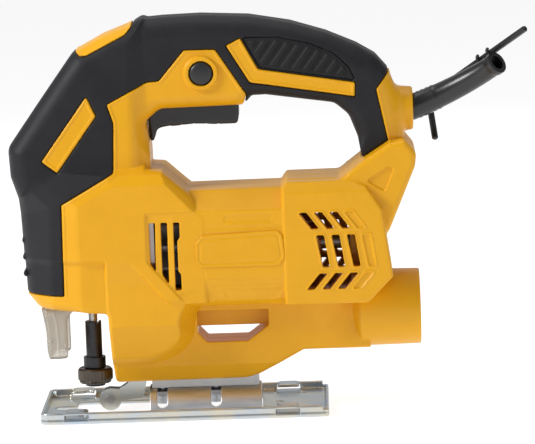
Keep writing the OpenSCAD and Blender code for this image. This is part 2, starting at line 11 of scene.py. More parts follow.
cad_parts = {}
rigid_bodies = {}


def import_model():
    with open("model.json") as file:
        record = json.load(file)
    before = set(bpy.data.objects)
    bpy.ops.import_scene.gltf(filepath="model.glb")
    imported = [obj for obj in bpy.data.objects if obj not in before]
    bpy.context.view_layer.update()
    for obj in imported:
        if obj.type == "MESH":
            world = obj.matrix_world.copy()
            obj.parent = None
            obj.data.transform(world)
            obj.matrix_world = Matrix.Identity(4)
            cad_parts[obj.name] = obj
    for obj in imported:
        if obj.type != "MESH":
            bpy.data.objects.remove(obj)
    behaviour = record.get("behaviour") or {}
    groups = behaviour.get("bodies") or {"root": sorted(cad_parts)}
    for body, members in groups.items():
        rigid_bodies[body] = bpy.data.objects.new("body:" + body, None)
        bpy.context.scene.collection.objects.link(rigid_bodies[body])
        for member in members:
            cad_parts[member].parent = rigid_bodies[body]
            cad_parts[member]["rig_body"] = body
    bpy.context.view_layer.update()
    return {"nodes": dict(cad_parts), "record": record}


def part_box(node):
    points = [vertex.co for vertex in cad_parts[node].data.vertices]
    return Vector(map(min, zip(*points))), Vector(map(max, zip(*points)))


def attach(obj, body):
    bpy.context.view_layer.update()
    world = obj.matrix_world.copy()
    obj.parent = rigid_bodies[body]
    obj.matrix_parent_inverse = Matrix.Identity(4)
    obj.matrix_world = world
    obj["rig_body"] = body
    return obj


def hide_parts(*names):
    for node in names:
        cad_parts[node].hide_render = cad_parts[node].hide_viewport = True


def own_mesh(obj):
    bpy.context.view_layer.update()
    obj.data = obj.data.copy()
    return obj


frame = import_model()
MM = 0.001
F32 = np.float32


# -------- distance fields
class Grid:
    """A block of space cut into cells; 2D fields are functions of x and z, and 3D ones add y."""

    def __init__(self, x0, x1, y0, y1, z0, z1, h):
        self.h = h
        self.o = np.array([x0, y0, z0], float)
        self.n = [int(math.ceil((b - a) / h)) + 1 for a, b in ((x0, x1), (y0, y1), (z0, z1))]
        ax = [self.o[i] + h * np.arange(self.n[i]) for i in range(3)]
        self.x = ax[0].astype(F32)[:, None, None]
        self.y = ax[1].astype(F32)[None, :, None]
        self.z = ax[2].astype(F32)[None, None, :]
        self.ay = np.abs(self.y)


def poly2(u, v, pts):
    """Signed distance to a closed outline, negative inside."""
    u, v = np.broadcast_arrays(u, v)
    best = np.full(u.shape, 1e9, F32)
    sign = np.ones(u.shape, bool)
    n = len(pts)
    for i in range(n):
        (ax, ay), (bx, by) = pts[i], pts[(i + 1) % n]
        ex, ey = bx - ax, by - ay
        wx, wy = u - F32(ax), v - F32(ay)
        t = np.clip((wx * ex + wy * ey) / (ex * ex + ey * ey), 0, 1)
        dx, dy = wx - ex * t, wy - ey * t
        best = np.minimum(best, dx * dx + dy * dy)
        if by != ay:
            cross = (ay > v) != (by > v)
            hit = u < (bx - ax) * (v - ay) / (by - ay) + ax
            sign ^= cross & hit
    return np.where(sign, 1, -1).astype(F32) * np.sqrt(best)


def arcs(pts):
    """An outline whose corners may carry a radius: [x, z] or [x, z, r] gives a round corner of radius r."""
    out = []
    n = len(pts)
    for i in range(n):
        p = np.array(pts[i][:2], float)
        if len(pts[i]) == 2:
            out.append(tuple(p))
            continue
        r = pts[i][2]
        a, c = np.array(pts[i - 1][:2], float), np.array(pts[(i + 1) % n][:2], float)
        u, v = (a - p) / np.linalg.norm(a - p), (c - p) / np.linalg.norm(c - p)
        half = math.acos(max(-1, min(1, float(u @ v)))) / 2
        cut = min(r / math.tan(half), 0.49 * np.linalg.norm(a - p), 0.49 * np.linalg.norm(c - p))
        rr = cut * math.tan(half)
        mid = (u + v) / np.linalg.norm(u + v)
        c0 = p + mid * (rr / math.sin(half))
        s, e = p + u * cut - c0, p + v * cut - c0
        turn = math.atan2(s[0] * e[1] - s[1] * e[0], s @ e)
        k = max(2, int(abs(turn) / 0.22))
        for j in range(k + 1):
            t = turn * j / k
            out.append(tuple(c0 + np.array([s[0] * math.cos(t) - s[1] * math.sin(t),
                    s[0] * math.sin(t) + s[1] * math.cos(t)])))
    return out


def smin(a, b, k):
    """Union of two solids with a soft blend about k wide."""
    h = np.clip(0.5 + 0.5 * (b - a) / k, 0, 1)
    return b + (a - b) * h - k * h * (1 - h)


def smax(a, b, k):
    return -smin(-a, -b, k)


def rmax(a, b, r):
    """Intersection of two solids with the edge between them rounded to radius r."""
    if np.ndim(r) == 0 and r <= 0:
        return np.maximum(a, b)
    return np.minimum(np.maximum(a, b), -r) + np.sqrt(np.maximum(a + r, 0) ** 2 + np.maximum(b + r, 0) ** 2)


def rmin(a, b, r):
    """Union of two solids with the corner between them filleted to radius r."""
    return -rmax(-a, -b, r)


def cyl_x(g, r, x0, x1, z, y=0.0):
    return np.maximum(np.sqrt((g.y - y) ** 2 + (g.z - z) ** 2) - r, np.maximum(x0 - g.x, g.x - x1))


def cyl_y(g, r, y0, y1, x, z):
    return np.maximum(np.sqrt((g.x - x) ** 2 + (g.z - z) ** 2) - r, np.maximum(y0 - g.y, g.y - y1))


def cyl_z(g, r, z0, z1, x=0.0, y=0.0):
    return np.maximum(np.sqrt((g.x - x) ** 2 + (g.y - y) ** 2) - r, np.maximum(z0 - g.z, g.z - z1))


def box3(g, x0, x1, y0, y1, z0, z1):
    return np.maximum(np.maximum(np.maximum(x0 - g.x, g.x - x1), np.maximum(y0 - g.y, g.y - y1)),
                      np.maximum(z0 - g.z, g.z - z1))


def ramp(t):
    """0 below t = 0, 1 above t = 1, and a smooth step between."""
    t = np.clip(t, 0, 1)
    return t * t * (3 - 2 * t)


def surface(g, d):
    """Surface nets over a field: one point in each crossed cell, one face over each crossed edge."""
    d = np.broadcast_to(d, g.n).astype(F32)
    d = np.where(np.abs(d) < 1e-4, F32(1e-4), d)
    neg = d < 0
    c = neg[:-1, :-1, :-1].astype(np.int8)
    for i in (0, 1):
        for j in (0, 1):
            for k in (0, 1):
                if i + j + k:
                    c = c + neg[i : g.n[0] - 1 + i, j : g.n[1] - 1 + j, k : g.n[2] - 1 + k]
    cell = (c > 0) & (c < 8)
    ids = np.full(cell.shape, -1, np.int32)
    idx = np.argwhere(cell)
    ids[cell] = np.arange(len(idx))
    acc = np.zeros((len(idx), 3))
    cnt = np.zeros(len(idx))
    corners = [(a, b) for a in (0, 1) for b in (0, 1)]
    for axis in range(3):
        step = np.eye(3, dtype=int)[axis]
        for off in [pair[:axis] + (0,) + pair[axis:] for pair in corners]:
            p = idx + off
            q = p + step
            a = d[p[:, 0], p[:, 1], p[:, 2]].astype(float)
            b = d[q[:, 0], q[:, 1], q[:, 2]].astype(float)
            cross = (a < 0) != (b < 0)
            t = np.where(cross, a / np.where(cross, a - b, 1), 0)
            pos = np.array(off, float) + t[:, None] * step
            acc += pos * cross[:, None]
            cnt += cross
    verts = (idx + acc / cnt[:, None]) * g.h + g.o
    faces = []
    for axis in range(3):
        u, v = [(1, 2), (2, 0), (0, 1)][axis]
        sl_a = [slice(None)] * 3
        sl_b = [slice(None)] * 3
        sl_a[axis], sl_b[axis] = slice(0, -1), slice(1, None)
        a, b = neg[tuple(sl_a)], neg[tuple(sl_b)]
        e = np.argwhere(a != b)
        keep = (e[:, u] > 0) & (e[:, v] > 0) & (e[:, u] < g.n[u] - 1) & (e[:, v] < g.n[v] - 1)
        e = e[keep]
        inside = neg[e[:, 0], e[:, 1], e[:, 2]]
        q = []
        for du, dv in ((1, 1), (0, 1), (0, 0), (1, 0)):
            r = e.copy()
            r[:, u] -= du
            r[:, v] -= dv
            q.append(ids[r[:, 0], r[:, 1], r[:, 2]])
        q = np.stack(q, 1)
        q[~inside] = q[~inside][:, ::-1]
        faces.append(q)
    return verts, np.concatenate(faces)


# -------- outlines of the body, [x, z] in mm
HANDLE = arcs([(-39.6, 131, 4), (-40.4, 146, 7), (-22, 171.5), (-4, 196, 12), (12, 204.5), (28, 210.5),
               (32.5, 213.1, 3), (44, 213.9), (64, 214.4), (90, 213), (112, 209), (131, 203),
               (147, 196, 14), (157, 190, 8), (163.8, 182, 6), (167, 173), (170, 160), (171.2, 146),
               (165, 132), (140, 112), (60, 110), (0, 100), (-30, 104)])
HOLE = arcs([(35.3, 134.1, 1), (41.5, 133.4, 2), (54.5, 121.8, 4), (104.5, 122.2, 1), (107.5, 125.8, 2),
             (135.8, 126, 3), (148.5, 135.2, 3), (146.5, 147), (142, 159, 8), (134.5, 165.5, 6),
             (98, 171, 5), (90.5, 170.8, 2), (87.6, 167.6, 3), (84, 165.9, 3), (41, 165.2, 7),
             (33.4, 158.8, 4), (35.2, 147)])
FRONT = arcs([(-34.2, 66.7, 3), (-27.3, 59.6, 6), (-1.8, 58, 8), (9.9, 57.4, 2.5), (10.9, 27),
              (31.8, 27.2, 20), (45.5, 31.4, 16), (55.2, 40, 14), (56.8, 54, 8), (64, 62), (64, 108),
              (54.8, 121.8), (41.5, 133.4), (33, 134.2), (33, 150), (-40.4, 150), (-39.6, 131),
              (-36.7, 118.5, 12), (-35, 84)])
UPPER = [(-45, 120), (-45, 150), (-22, 176), (-4, 201), (12, 210), (28, 216), (33.5, 219), (33.5, 122)]
REAR = arcs([(105, 59.3), (149, 59.3, 1), (163, 73.5, 1), (158, 109.5, 1), (150, 122), (141, 126),
             (107.5, 125.6, 1), (105, 122)])
HUMP = arcs([(112, 116), (135.8, 126, 2), (148.5, 135.2), (163, 144.3, 4), (171.2, 146, 4),
             (177.2, 138.4, 5), (176.4, 131.5, 5), (162, 98), (150, 80), (112, 80)])
STRUT = arcs([(9.8, 62), (10.4, 34), (11.8, 17, 2.5), (83, 17.5, 4), (90, 19.7, 4), (114, 32.5, 3),
              (150, 32.4), (150, 64)])
WINDOW = arcs([(57.1, 55.2, 0.6), (95.3, 55.2, 0.6), (95.3, 46.5, 0.8), (84, 38.3, 0.8), (62, 38.3, 0.8),
               (57.1, 43.5, 0.8)])
BLACK = arcs([(-60, 67.3), (-13.2, 67.3, 0.6), (-12.6, 117, 0.6), (15.6, 132.9, 0.6), (16.5, 159.2, 3),
              (13.3, 169.2, 0.6), (34.7, 180.1, 4), (41.3, 180.5, 2), (55.2, 196.6, 0.8),
              (72.0, 196.5, 1.5), (87.8, 171.9, 2), (86.7, 167.9), (84, 160), (98, 158), (132, 158),
              (139, 150), (141, 130), (148.4, 136.0), (162.5, 144.8, 0.5), (156.9, 172.4, 2),
              (163.8, 181.4, 0.5), (185, 190), (150, 235), (0, 235), (-60, 165)])
SLASH = arcs([(2.5, 173.9, 0.6), (7.4, 163.3, 0.6), (-14.3, 133.6, 0.6), (-22.6, 139.9, 0.6)])
LENS = arcs([(-12, 210), (-7.0, 200.5, 0.3), (-0.4, 195.2, 1), (2.8, 195.1, 1), (24.3, 205.6, 5),
             (27.6, 209.6, 3), (30, 222)])
STRIP = arcs([(77.7, 198.3, 0.4), (85.5, 202.1, 0.4), (94.5, 185.3, 2), (98.2, 184.6, 1),
              (145.9, 176.6, 0.4), (145.6, 168.9, 0.4), (97.9, 176.9, 2), (89.8, 178.1, 3)])
PAD = arcs([(86.3, 202.4, 1), (95.2, 186.3, 3), (98.4, 185.4, 1), (146.2, 177.6, 0.8), (142.9, 184.7, 4),
            (135.2, 192.4, 8), (121.5, 198.4, 12), (104, 202.2, 8)])
GRIP_CAV = [(38, 176), (98, 176), (134, 171), (146.5, 164), (151.5, 150), (152.5, 136), (160, 131),
            (169, 137), (164.5, 147), (159.5, 172), (156, 182), (147, 190), (131, 197), (112, 203),
            (90, 207), (64, 208.4), (38, 207)]
DUCT = [(5, 23), (93, 23), (120, 36), (150, 36), (150, 56.5), (118, 56.5), (96, 34.5), (5, 34.5)]
SCREWS = [(-27, 130), (24, 190), (128, 184), (170, 128), (45, 123), (140, 121.6), (38, 52), (100.5, 50),
          (-27, 72)]
FRONT_SLOTS = [[(33.6, 106), (37, 106), (36.6, 79.6), (33.8, 84)],
               [(40, 106), (43.4, 106), (43.4, 72.6), (40, 78)],
               [(46.7, 106), (50, 106), (50, 98), (48.6, 96), (48.6, 80), (50, 78), (50, 69.6),
                (46.7, 69.6)]]
REAR_SLOTS = [[(113.5, 109.2), (117.7, 109.2), (124.3, 100.2), (120.3, 100.2)],
              [(122.5, 96.8), (126.7, 96.8), (129.3, 79.6), (125.7, 79.6)],
              [(123.9, 76.3), (128.2, 76.3), (121, 67.8), (116.8, 67.8)]]
PITCH = 8.2
TRI = arcs([(150.2, 124.6, 1), (161.9, 131.9, 2), (165.0, 130.6, 2), (159.8, 118.6, 1)])
MOTOR_Z = 89.0
CONE = arcs([(-80, 26.9), (31.8, 27.2, 20), (45.5, 31.4, 16), (55.2, 40, 14), (56.8, 54, 8), (66, 64),
             (66, 140), (-80, 140)])
GEAR_W, BARREL_W, REAR_W, HUMP_W, STRUT_W = 31.9, 30.8, 31.8, 26.9, 14.0
HAND_W, UPPER_W = 18.0, 24.6
PORT_Z, GLAND_Z, LOCK_X, LOCK_Z = 52.3, 160, 64, 184


def off_line(g, a, b):
    """How far a point of the flank lies to the left of the line from a to b."""
    ex, ez = b[0] - a[0], b[1] - a[1]
    n = math.hypot(ex, ez)
    return (ex * (g.z - a[1]) - ez * (g.x - a[0])) / n


def front_width(g):
    """Half-width of the gear housing, facet by facet."""
    x, z = g.x, g.z
    left = 0.36 * np.maximum(0, -3.5 - x)
    diag = 0.36 * np.maximum(0, off_line(g, (-3.5, 116.1), (15.6, 126.5)))
    top = 0.5 * np.maximum(0, off_line(g, (15.6, 126.5), (42.9, 126.7))) + 1.3 * np.maximum(0, z - 131.6)
    right = 1.1 * np.maximum(0, off_line(g, (42.9, 126.7), (58.7, 109.9)))
    drop = np.maximum(np.maximum(left, diag), np.maximum(top, right))
    # prow: the flank turns in towards the blade
    bow = 1.0 * np.maximum(0, np.minimum(off_line(g, (-14.2, 60), (-13.4, 117)),
            off_line(g, (-13.4, 117), (-36, 152))))
    drop = smax(drop, bow, 1.0)
    h = GEAR_W - drop
    # lower front: shallow panel, scooped side panel
    low = ramp((87.4 - z) / 4.0)
    h_left = h - 2.6 * low
    scoop = 1.9 * ramp((87.0 - z) / 15.0) + 0.42 * np.maximum(0, 50.5 - z)
    h_side = h - scoop
    side = ramp((x - (9.2 + (87 - z) * 0.012)) / 0.8)
    h = h_left * (1 - side) + h_side * side
    band = off_line(g, (22.2, 85.6), (42.6, 62.6))
    keep = ramp((band + 0.2) / 0.9) * ramp((z - 60.5) / 4.0)
    h = h * (1 - keep) + (GEAR_W - drop) * keep
    # recess that holds the cooling slots
    room = poly2(g.x, g.z, [(32.0, 111.6), (90, 111.6), (90, 40), (62, 50.2), (32.0, 85.0)])
    sink = ramp((0.3 - room) / 0.7) * ramp((113.6 - z) / 3.6)
    return h * (1 - sink) + np.minimum(h, BARREL_W) * sink


def lines(g, segs, depth, width):
    """Shallow grooves along lines on the flank."""
    out = 0
    for a, b in segs:
        d = poly2(g.x, g.z, [a, b, (b[0] + 0.001, b[1] + 0.001)])
        out = out + depth * np.exp(-((d / width) ** 2))
    return out


def body_field(g, side):
    """The clamshell's outer body with all its openings; side is -1 for the left half, 1 for the right."""
    x, ay, z = g.x, g.ay, g.z
    hw = front_width(g)
    d_front = poly2(x, z, FRONT)
    front = rmax(d_front, (ay - hw) / 1.05, 2.2)
    cone = (ay - STRUT_W + 1.75 * poly2(x, z, CONE)) / 2.0
    front = np.where((z < 62) & (x > 9.6), rmax(front, cone, 0.8), front)
    soft = ramp((2 - x) / 12)
    front = rmax(d_front, (ay - hw) / 1.2, 5.0) * soft + front * (1 - soft)
    # upper front and handle
    d_hand = poly2(x, z, HANDLE)
    upper = rmax(rmax(d_hand, poly2(x, z, UPPER), 0.5), ay - (UPPER_W - 0.055 * np.maximum(0, z - 120)), 10.0)
    hand = rmax(d_hand, ay - HAND_W, 11.0)
    d = rmin(hand, upper, 3.0)
    d = smin(d, front, 1.2)
    # motor barrel: badge stretch and rear stretch
    sec = arcs([(-60, 59.5), (23, 59.5, 1), (28.4, 63.2, 5), (BARREL_W, 74, 9), (BARREL_W, 111.4, 0.8),
                (19.5, 121.8, 1.2), (-60, 121.8)])
    b1 = np.maximum(poly2(ay, z, sec), np.maximum(46 - x, x - 108))
    b1 = b1 + badge_relief(g)
    sec2 = arcs([(-60, 59.3), (REAR_W - 1.2, 59.3, 0.8), (REAR_W, 60.6, 0.8), (REAR_W, 119.8, 0.8),
                 (26.4, 126, 1.2), (-60, 126)])
    b2 = rmax(poly2(ay, z, sec2), poly2(x, z, REAR), 1.4)
    b2 = b2 + rear_relief(g)
    hump = rmax(poly2(x, z, HUMP), ay - HUMP_W, 3.0)
    hump = rmax(hump, -rmax(poly2(x, z, TRI), (HUMP_W - 1.1) - ay, 0.3), 0.5)
    d = rmin(d, np.minimum(b1, b2), 0.6)
    d = rmin(d, hump, 0.8)
    # strut and dust port
    sw = STRUT_W - 0.35 * np.maximum(0, 26 - z)
    d = rmin(d, rmax(poly2(x, z, STRUT), ay - sw, 1.6), 0.8)
    rad = np.sqrt(g.y ** 2 + (z - PORT_Z) ** 2)
    taper = 14.0 + 6.7 * ramp((x - 139.5) / 6.0)
    port = rmax(rad - taper + 0.012 * np.maximum(0, x - 150), np.maximum(136 - x, x - 177.4), 0.7)
    d = rmin(d, port, 0.7)
    # the round end of the handle, where the cord boot goes in
    gland = np.sqrt(g.y ** 2 + (z - GLAND_Z) ** 2)
    d = smin(d, rmax(gland - 11.6 - 0.09 * np.maximum(0, 176 - x), np.maximum(156 - x, x - 176.5), 1.0), 3.0)
    # hand opening, and the window with its thin wall
    d = rmax(d, -poly2(x, z, HOLE), 0.8 + 6.4 * ramp((z - 138) / 12))
    win = poly2(x, z, WINDOW)
    web = np.maximum(45.4 - z, ay - 3.0)
    d = rmax(d, -np.maximum(win, -web), 0.5)
    # three short ribs across the nose
    for rib_z in (96, 87, 78):
        d = rmin(d, np.sqrt((x + 34.6) ** 2 + ((z - rib_z) * 0.8) ** 2 + (np.maximum(ay - 8, 0)) ** 2)
                 - 1.3, 0.6)
    # a raised ring round the lock button
    if side < 0:
        ring = rmax(np.sqrt((x - LOCK_X) ** 2 + (z - LOCK_Z) ** 2) - 9.2, -20.0 - g.y, 0.7)
        ring = np.maximum(ring, g.y + 12)
        d = rmin(d, ring, 0.5)
    return d


def badge_relief(g):
    """Nested steps of the badge field on the barrel's flank."""
    x, z = g.x, g.z
    out = lines(g, [((65.4, 102.0), (105.0, 102.1)), ((63.7, 99.4), (108.6, 99.2)),
                    ((67.5, 70.6), (106.7, 70.8))], 0.22, 0.45)
    plate = arcs([(61.4, 92.6, 1), (66.4, 95.8, 1), (107.2, 95.8, 1.5), (108.8, 81.0, 1), (106.2, 75.4, 1),
                  (63.4, 75.0, 1)])
    out = out - 0.35 * ramp((0.4 - poly2(x, z, plate)) / 0.7)
    up = arcs([(74.3, 108.6, 0.4), (99.8, 108.6, 0.4), (98.6, 105.2, 0.4), (73.7, 105.2, 0.4)])
    out = out + 0.3 * ramp((0.35 - poly2(x, z, up)) / 0.6)
    lo = arcs([(71.4, 69.0, 0.4), (104.4, 69.0, 0.4), (100.6, 63.4, 0.4), (75.2, 63.4, 0.4)])
    out = out + 0.3 * ramp((0.35 - poly2(x, z, lo)) / 0.6)
    return out * ramp((g.ay - 22) / 4)


def rear_relief(g):
    """Chevron valley in front of the rear slots, and the shallow frames of the blind slots."""
    x, z = g.x, g.z
    out = 0
    for s in REAR_SLOTS:
        p = poly2(x, z, arcs([(a + 3 * PITCH, b, 0.4) for a, b in s]))
        out = out + 0.45 * ramp((0.25 - p) / 0.5)
    for s in REAR_SLOTS:
        for k in range(4):
            p = poly2(x, z, arcs([(a + k * PITCH, b, 0.4) for a, b in s]))
            out = out - 0.28 * ramp((1.15 - p) / 0.4) * ramp((p + 0.1) / 0.3)
    # the flank falls away below and behind the chevron
    valley = np.maximum(-off_line(g, (104.7, 113.4), (121.4, 96.6)),
            off_line(g, (107.2, 61.4), (121.0, 75.2)))
    valley = np.maximum(valley, x - 121.6)
    out = out + 1.35 * ramp((0.4 - valley) / 2.0) * ramp((121.5 - z) / 2.0) * ramp((z - 59) / 2)
    return out * ramp((g.ay - 24) / 4)


def slot_room(g, outline, shift, inner_y):
    """A cooling slot, open from inside the wall outwards."""
    return np.maximum(poly2(g.x, g.z, arcs([(a + shift, b, 0.3) for a, b in outline])), inner_y - g.ay)


def rooms(g, side):
    """The hollow places in the body, one field after another, so that only one is held at a time."""
    x, ay, z = g.x, g.ay, g.z
    # gearbox with the yoke, slider and plunger
    yield box3(g, -9, 38, -25, 25, 66, 124)
    yield box3(g, -18, 27.5, -15, 15, 123, 151)
    yield box3(g, -9, 33, -24, 24, 118, 132.5)
    yield box3(g, -1, 15.5, -19.6, 19.6, 118, 134.4)
    yield cyl_z(g, 5.5, 150, 173)
    yield cyl_z(g, 7.0, 50, 67)
    # motor and its rear bearing
    yield cyl_x(g, 28.0, 37.5, 140.5, MOTOR_Z)
    yield cyl_x(g, 9.5, 140, 148, MOTOR_Z)
    # handle, with the switch and the trigger, and the way for the wires down to the motor
    yield np.maximum(np.maximum(poly2(x, z, GRIP_CAV), ay - 14.5),
                     4.0 - np.sqrt((x - 128) ** 2 + (z - 184) ** 2))
    yield np.maximum(poly2(x, z, [(150, 138), (160, 133), (156, 108), (138, 108), (138, 113)]), ay - 12)
    yield box3(g, 33.7, 83.6, -8.4, 8.4, 150, 173.8)
    yield cyl_z(g, 3.5, 173, 182, 60)
    # dust duct and port
    yield np.maximum(poly2(x, z, DUCT), ay - 9)
    yield cyl_x(g, 17.5, 147, 182, PORT_Z)
    # cord boot
    yield cyl_x(g, 6.5, 159, 178, GLAND_Z)
    yield cyl_x(g, 7.8, 173.5, 178, GLAND_Z)
    yield cyl_x(g, 9.0, 160.4, 164.6, GLAND_Z)
    # roller fork, orbit shaft and roller pin
    yield box3(g, 17, 32, -6.6, 6.6, 10, 46)
    yield cyl_y(g, 3.05, -9, 34, 28, 47)
    yield cyl_y(g, 1.6, -9.2, 9.2, 24, 27)
    # clamp plate and the shoe's bolts
    yield box3(g, 30.9, 89.1, -6.4, 6.4, 12, 20)
    yield cyl_z(g, 2.5, 19, 22.4, 36.5)
    yield cyl_z(g, 2.5, 19, 22.4, 65.5)
    if side < 0:
        yield cyl_y(g, 6.6, -40, -10, LOCK_X, LOCK_Z)
    for s in FRONT_SLOTS:
        yield slot_room(g, s, 0, 18)
    for s in REAR_SLOTS:
        for k in range(3):
            yield slot_room(g, s, k * PITCH, 17)
    for px, pz in SCREWS:
        r = np.sqrt((x - px) ** 2 + (z - pz) ** 2)
        yield np.maximum(r - 2.1, np.maximum(-9.4 - g.y, g.y - 9.2))
        if side > 0:
            yield np.maximum(r - 3.9, 9.05 - g.y)


def hollow_field(g, side):
    """Positive in the body's hollow places, negative in the plastic."""
    field = None
    for room in rooms(g, side):
        field = room if field is None else np.minimum(field, room)
    return -field


def black_region(g):
    """Negative where the soft overmould covers the body."""
    r = poly2(g.x, g.z, BLACK)
    for p in (SLASH, LENS, STRIP):
        r = np.maximum(r, -poly2(g.x, g.z, p))
    return r


# -------- meshes
def slope_at(g, d, pts):
    """Outward direction of a field at points, read between the grid's corners."""
    f = (pts - g.o) / g.h
    i = np.clip(np.floor(f).astype(int), 0, np.array(g.n) - 2)
    t = np.clip(f - i, 0, 1)
    out = np.zeros(pts.shape)
    for a in (0, 1):
        for b in (0, 1):
            for c in (0, 1):
                v = d[i[:, 0] + a, i[:, 1] + b, i[:, 2] + c]
                wa = t[:, 0] if a else 1 - t[:, 0]
                wb = t[:, 1] if b else 1 - t[:, 1]
                wc = t[:, 2] if c else 1 - t[:, 2]
                out[:, 0] += v * wb * wc * (1 if a else -1)
                out[:, 1] += v * wa * wc * (1 if b else -1)
                out[:, 2] += v * wa * wb * (1 if c else -1)
    n = np.linalg.norm(out, axis=1, keepdims=True)
    return out / np.maximum(n, 1e-9)


def link(name, mesh, material=None):
    """A mesh as an object of the scene."""
    ob = bpy.data.objects.new(name, mesh)
    bpy.context.scene.collection.objects.link(ob)
    if material:
        mesh.materials.append(material)
    return ob


def mesh_from(name, verts, quads):
    """A mesh of four-sided faces, from points in mm."""
    mesh = bpy.data.meshes.new(name)
    n, m = len(verts), len(quads)
    mesh.vertices.add(n)
    mesh.vertices.foreach_set("co", (np.asarray(verts) * MM).astype(F32).ravel())
    mesh.loops.add(m * 4)
    mesh.loops.foreach_set("vertex_index", np.asarray(quads, np.int32).ravel())
    mesh.polygons.add(m)
    mesh.polygons.foreach_set("loop_start", np.arange(0, m * 4, 4, dtype=np.int32))
    mesh.update(calc_edges=True)
    mesh.validate()
    return mesh


def solid(name, g, d, material, limit=170000, crisp=False):
    """A field's surface as an object, thinned to at most `limit` triangles, with the field's own normals."""
    d = np.broadcast_to(d, g.n).astype(F32)
    verts, quads = surface(g, d)
    ob = link(name, mesh_from(name, verts, quads), material)
    if len(quads) * 2 > limit:
        mod = ob.modifiers.new("thin", "DECIMATE")
        mod.ratio = limit / (len(quads) * 2.0)
        deps = bpy.context.evaluated_depsgraph_get()
        fine = bpy.data.meshes.new_from_object(ob.evaluated_get(deps))
        old = ob.data
        ob.modifiers.clear()
        ob.data = fine
        fine.name = name
        bpy.data.meshes.remove(old)
    me = ob.data
    me.polygons.foreach_set("use_smooth", np.ones(len(me.polygons), bool))
    co = np.empty(len(me.vertices) * 3, F32)
    me.vertices.foreach_get("co", co)
    nor = slope_at(g, d, co.reshape(-1, 3).astype(float) / MM)
    me.normals_split_custom_set_from_vertices(nor.tolist())
    return ob


def lathe(name, prof, origin, axis, material, n=64, start=0.0):
    """A closed profile of [distance along the axis, radius] turned round an axis; origin in mm."""
    axis = Vector(axis).normalized()
    u = Vector((1, 0, 0)) if abs(axis.z) > 0.9 else axis.orthogonal().normalized()
    v = axis.cross(u).normalized()
    verts, quads = [], []
    m = len(prof)
    for k in range(n):
        t = 2 * math.pi * k / n + start
        d = u * math.cos(t) + v * math.sin(t)
        for s, r in prof:
            verts.append(Vector(origin) + axis * s + d * r)
    for k in range(n):
        k2 = (k + 1) % n
        for i in range(m):
            j = (i + 1) % m
            quads.append((k * m + i, k * m + j, k2 * m + j, k2 * m + i))
    me = bpy.data.meshes.new(name)
    me.from_pydata([tuple(p * MM) for p in verts], [], quads)
    bm = bmesh.new()
    bm.from_mesh(me)
    bmesh.ops.remove_doubles(bm, verts=bm.verts, dist=1e-6)
    bmesh.ops.recalc_face_normals(bm, faces=bm.faces)
    bm.to_mesh(me)
    bm.free()
    ob = link(name, me, material)
    shade(ob)
    return ob


def shade(ob, angle=32):
    """Smooth faces, with creases kept where they turn by more than an angle."""
    me = ob.data
    for p in me.polygons:
        p.use_smooth = True
    bm = bmesh.new()
    bm.from_mesh(me)
    lim = math.radians(angle)
    for e in bm.edges:
        e.smooth = not (len(e.link_faces) == 2 and e.calc_face_angle(0) > lim)
    bm.to_mesh(me)
    bm.free()


def sweep(name, path, radius, material, sides=24, caps=True):
    """A tube along points in mm; radius is a number, or a list with one for each point."""
    pts = [Vector(p) for p in path]
    n = len(pts)
    rs = radius if isinstance(radius, (list, tuple)) else [radius] * n
    tan = []
    for i in range(n):
        tan.append((pts[min(i + 1, n - 1)] - pts[max(i - 1, 0)]).normalized())
    u = tan[0].orthogonal().normalized()
    bm = bmesh.new()
    rings = []
    for i in range(n):
        u = (u - tan[i] * u.dot(tan[i])).normalized()
        v = tan[i].cross(u)
        ring = []
        for k in range(sides):
            t = 2 * math.pi * k / sides
            ring.append(bm.verts.new((pts[i] + (u * math.cos(t) + v * math.sin(t)) * rs[i]) * MM))
        rings.append(ring)
    for a, b in zip(rings, rings[1:]):
        for k in range(sides):
            bm.faces.new((a[k], a[(k + 1) % sides], b[(k + 1) % sides], b[k]))
    if caps:
        bm.faces.new(rings[0][::-1])
        bm.faces.new(rings[-1])
    bmesh.ops.recalc_face_normals(bm, faces=bm.faces)
    me = bpy.data.meshes.new(name)
    bm.to_mesh(me)
    bm.free()
    ob = link(name, me, material)
    shade(ob)
    return ob


def join(obs, name):
    """Several meshes as one object."""
    bm = bmesh.new()
    for o in obs:
        bm.from_mesh(o.data)
    me = bpy.data.meshes.new(name)
    bm.to_mesh(me)
    bm.free()
    for m in obs[0].data.materials:
        me.materials.append(m)
    for o in obs:
        bpy.data.objects.remove(o)
    return link(name, me)


def coil(name, a, axis, radius, wire, turns, length, material, steps=18):
    """A compression spring with closed ends, from point a along an axis, in mm."""
    axis = Vector(axis).normalized()
    u = axis.orthogonal().normalized()
    v = axis.cross(u)
    n = int(turns * steps)
    path = []
    # the first and last turn rise by one wire, so that they lie flat
    end, flat = 1.0 / turns, wire / length
    for i in range(n + 1):
        t = i / n
        if t < end:
            lift = flat * t / end
        elif t > 1 - end:
            lift = 1 - flat * (1 - t) / end
        else:
            lift = flat + (1 - 2 * flat) * (t - end) / (1 - 2 * end)
        ang = 2 * math.pi * turns * t
        spoke = (u * math.cos(ang) + v * math.sin(ang)) * (radius - wire / 2)
        path.append(Vector(a) + axis * (wire / 2 + lift * (length - wire)) + spoke)
    return sweep(name, path, wire / 2, material, sides=8)


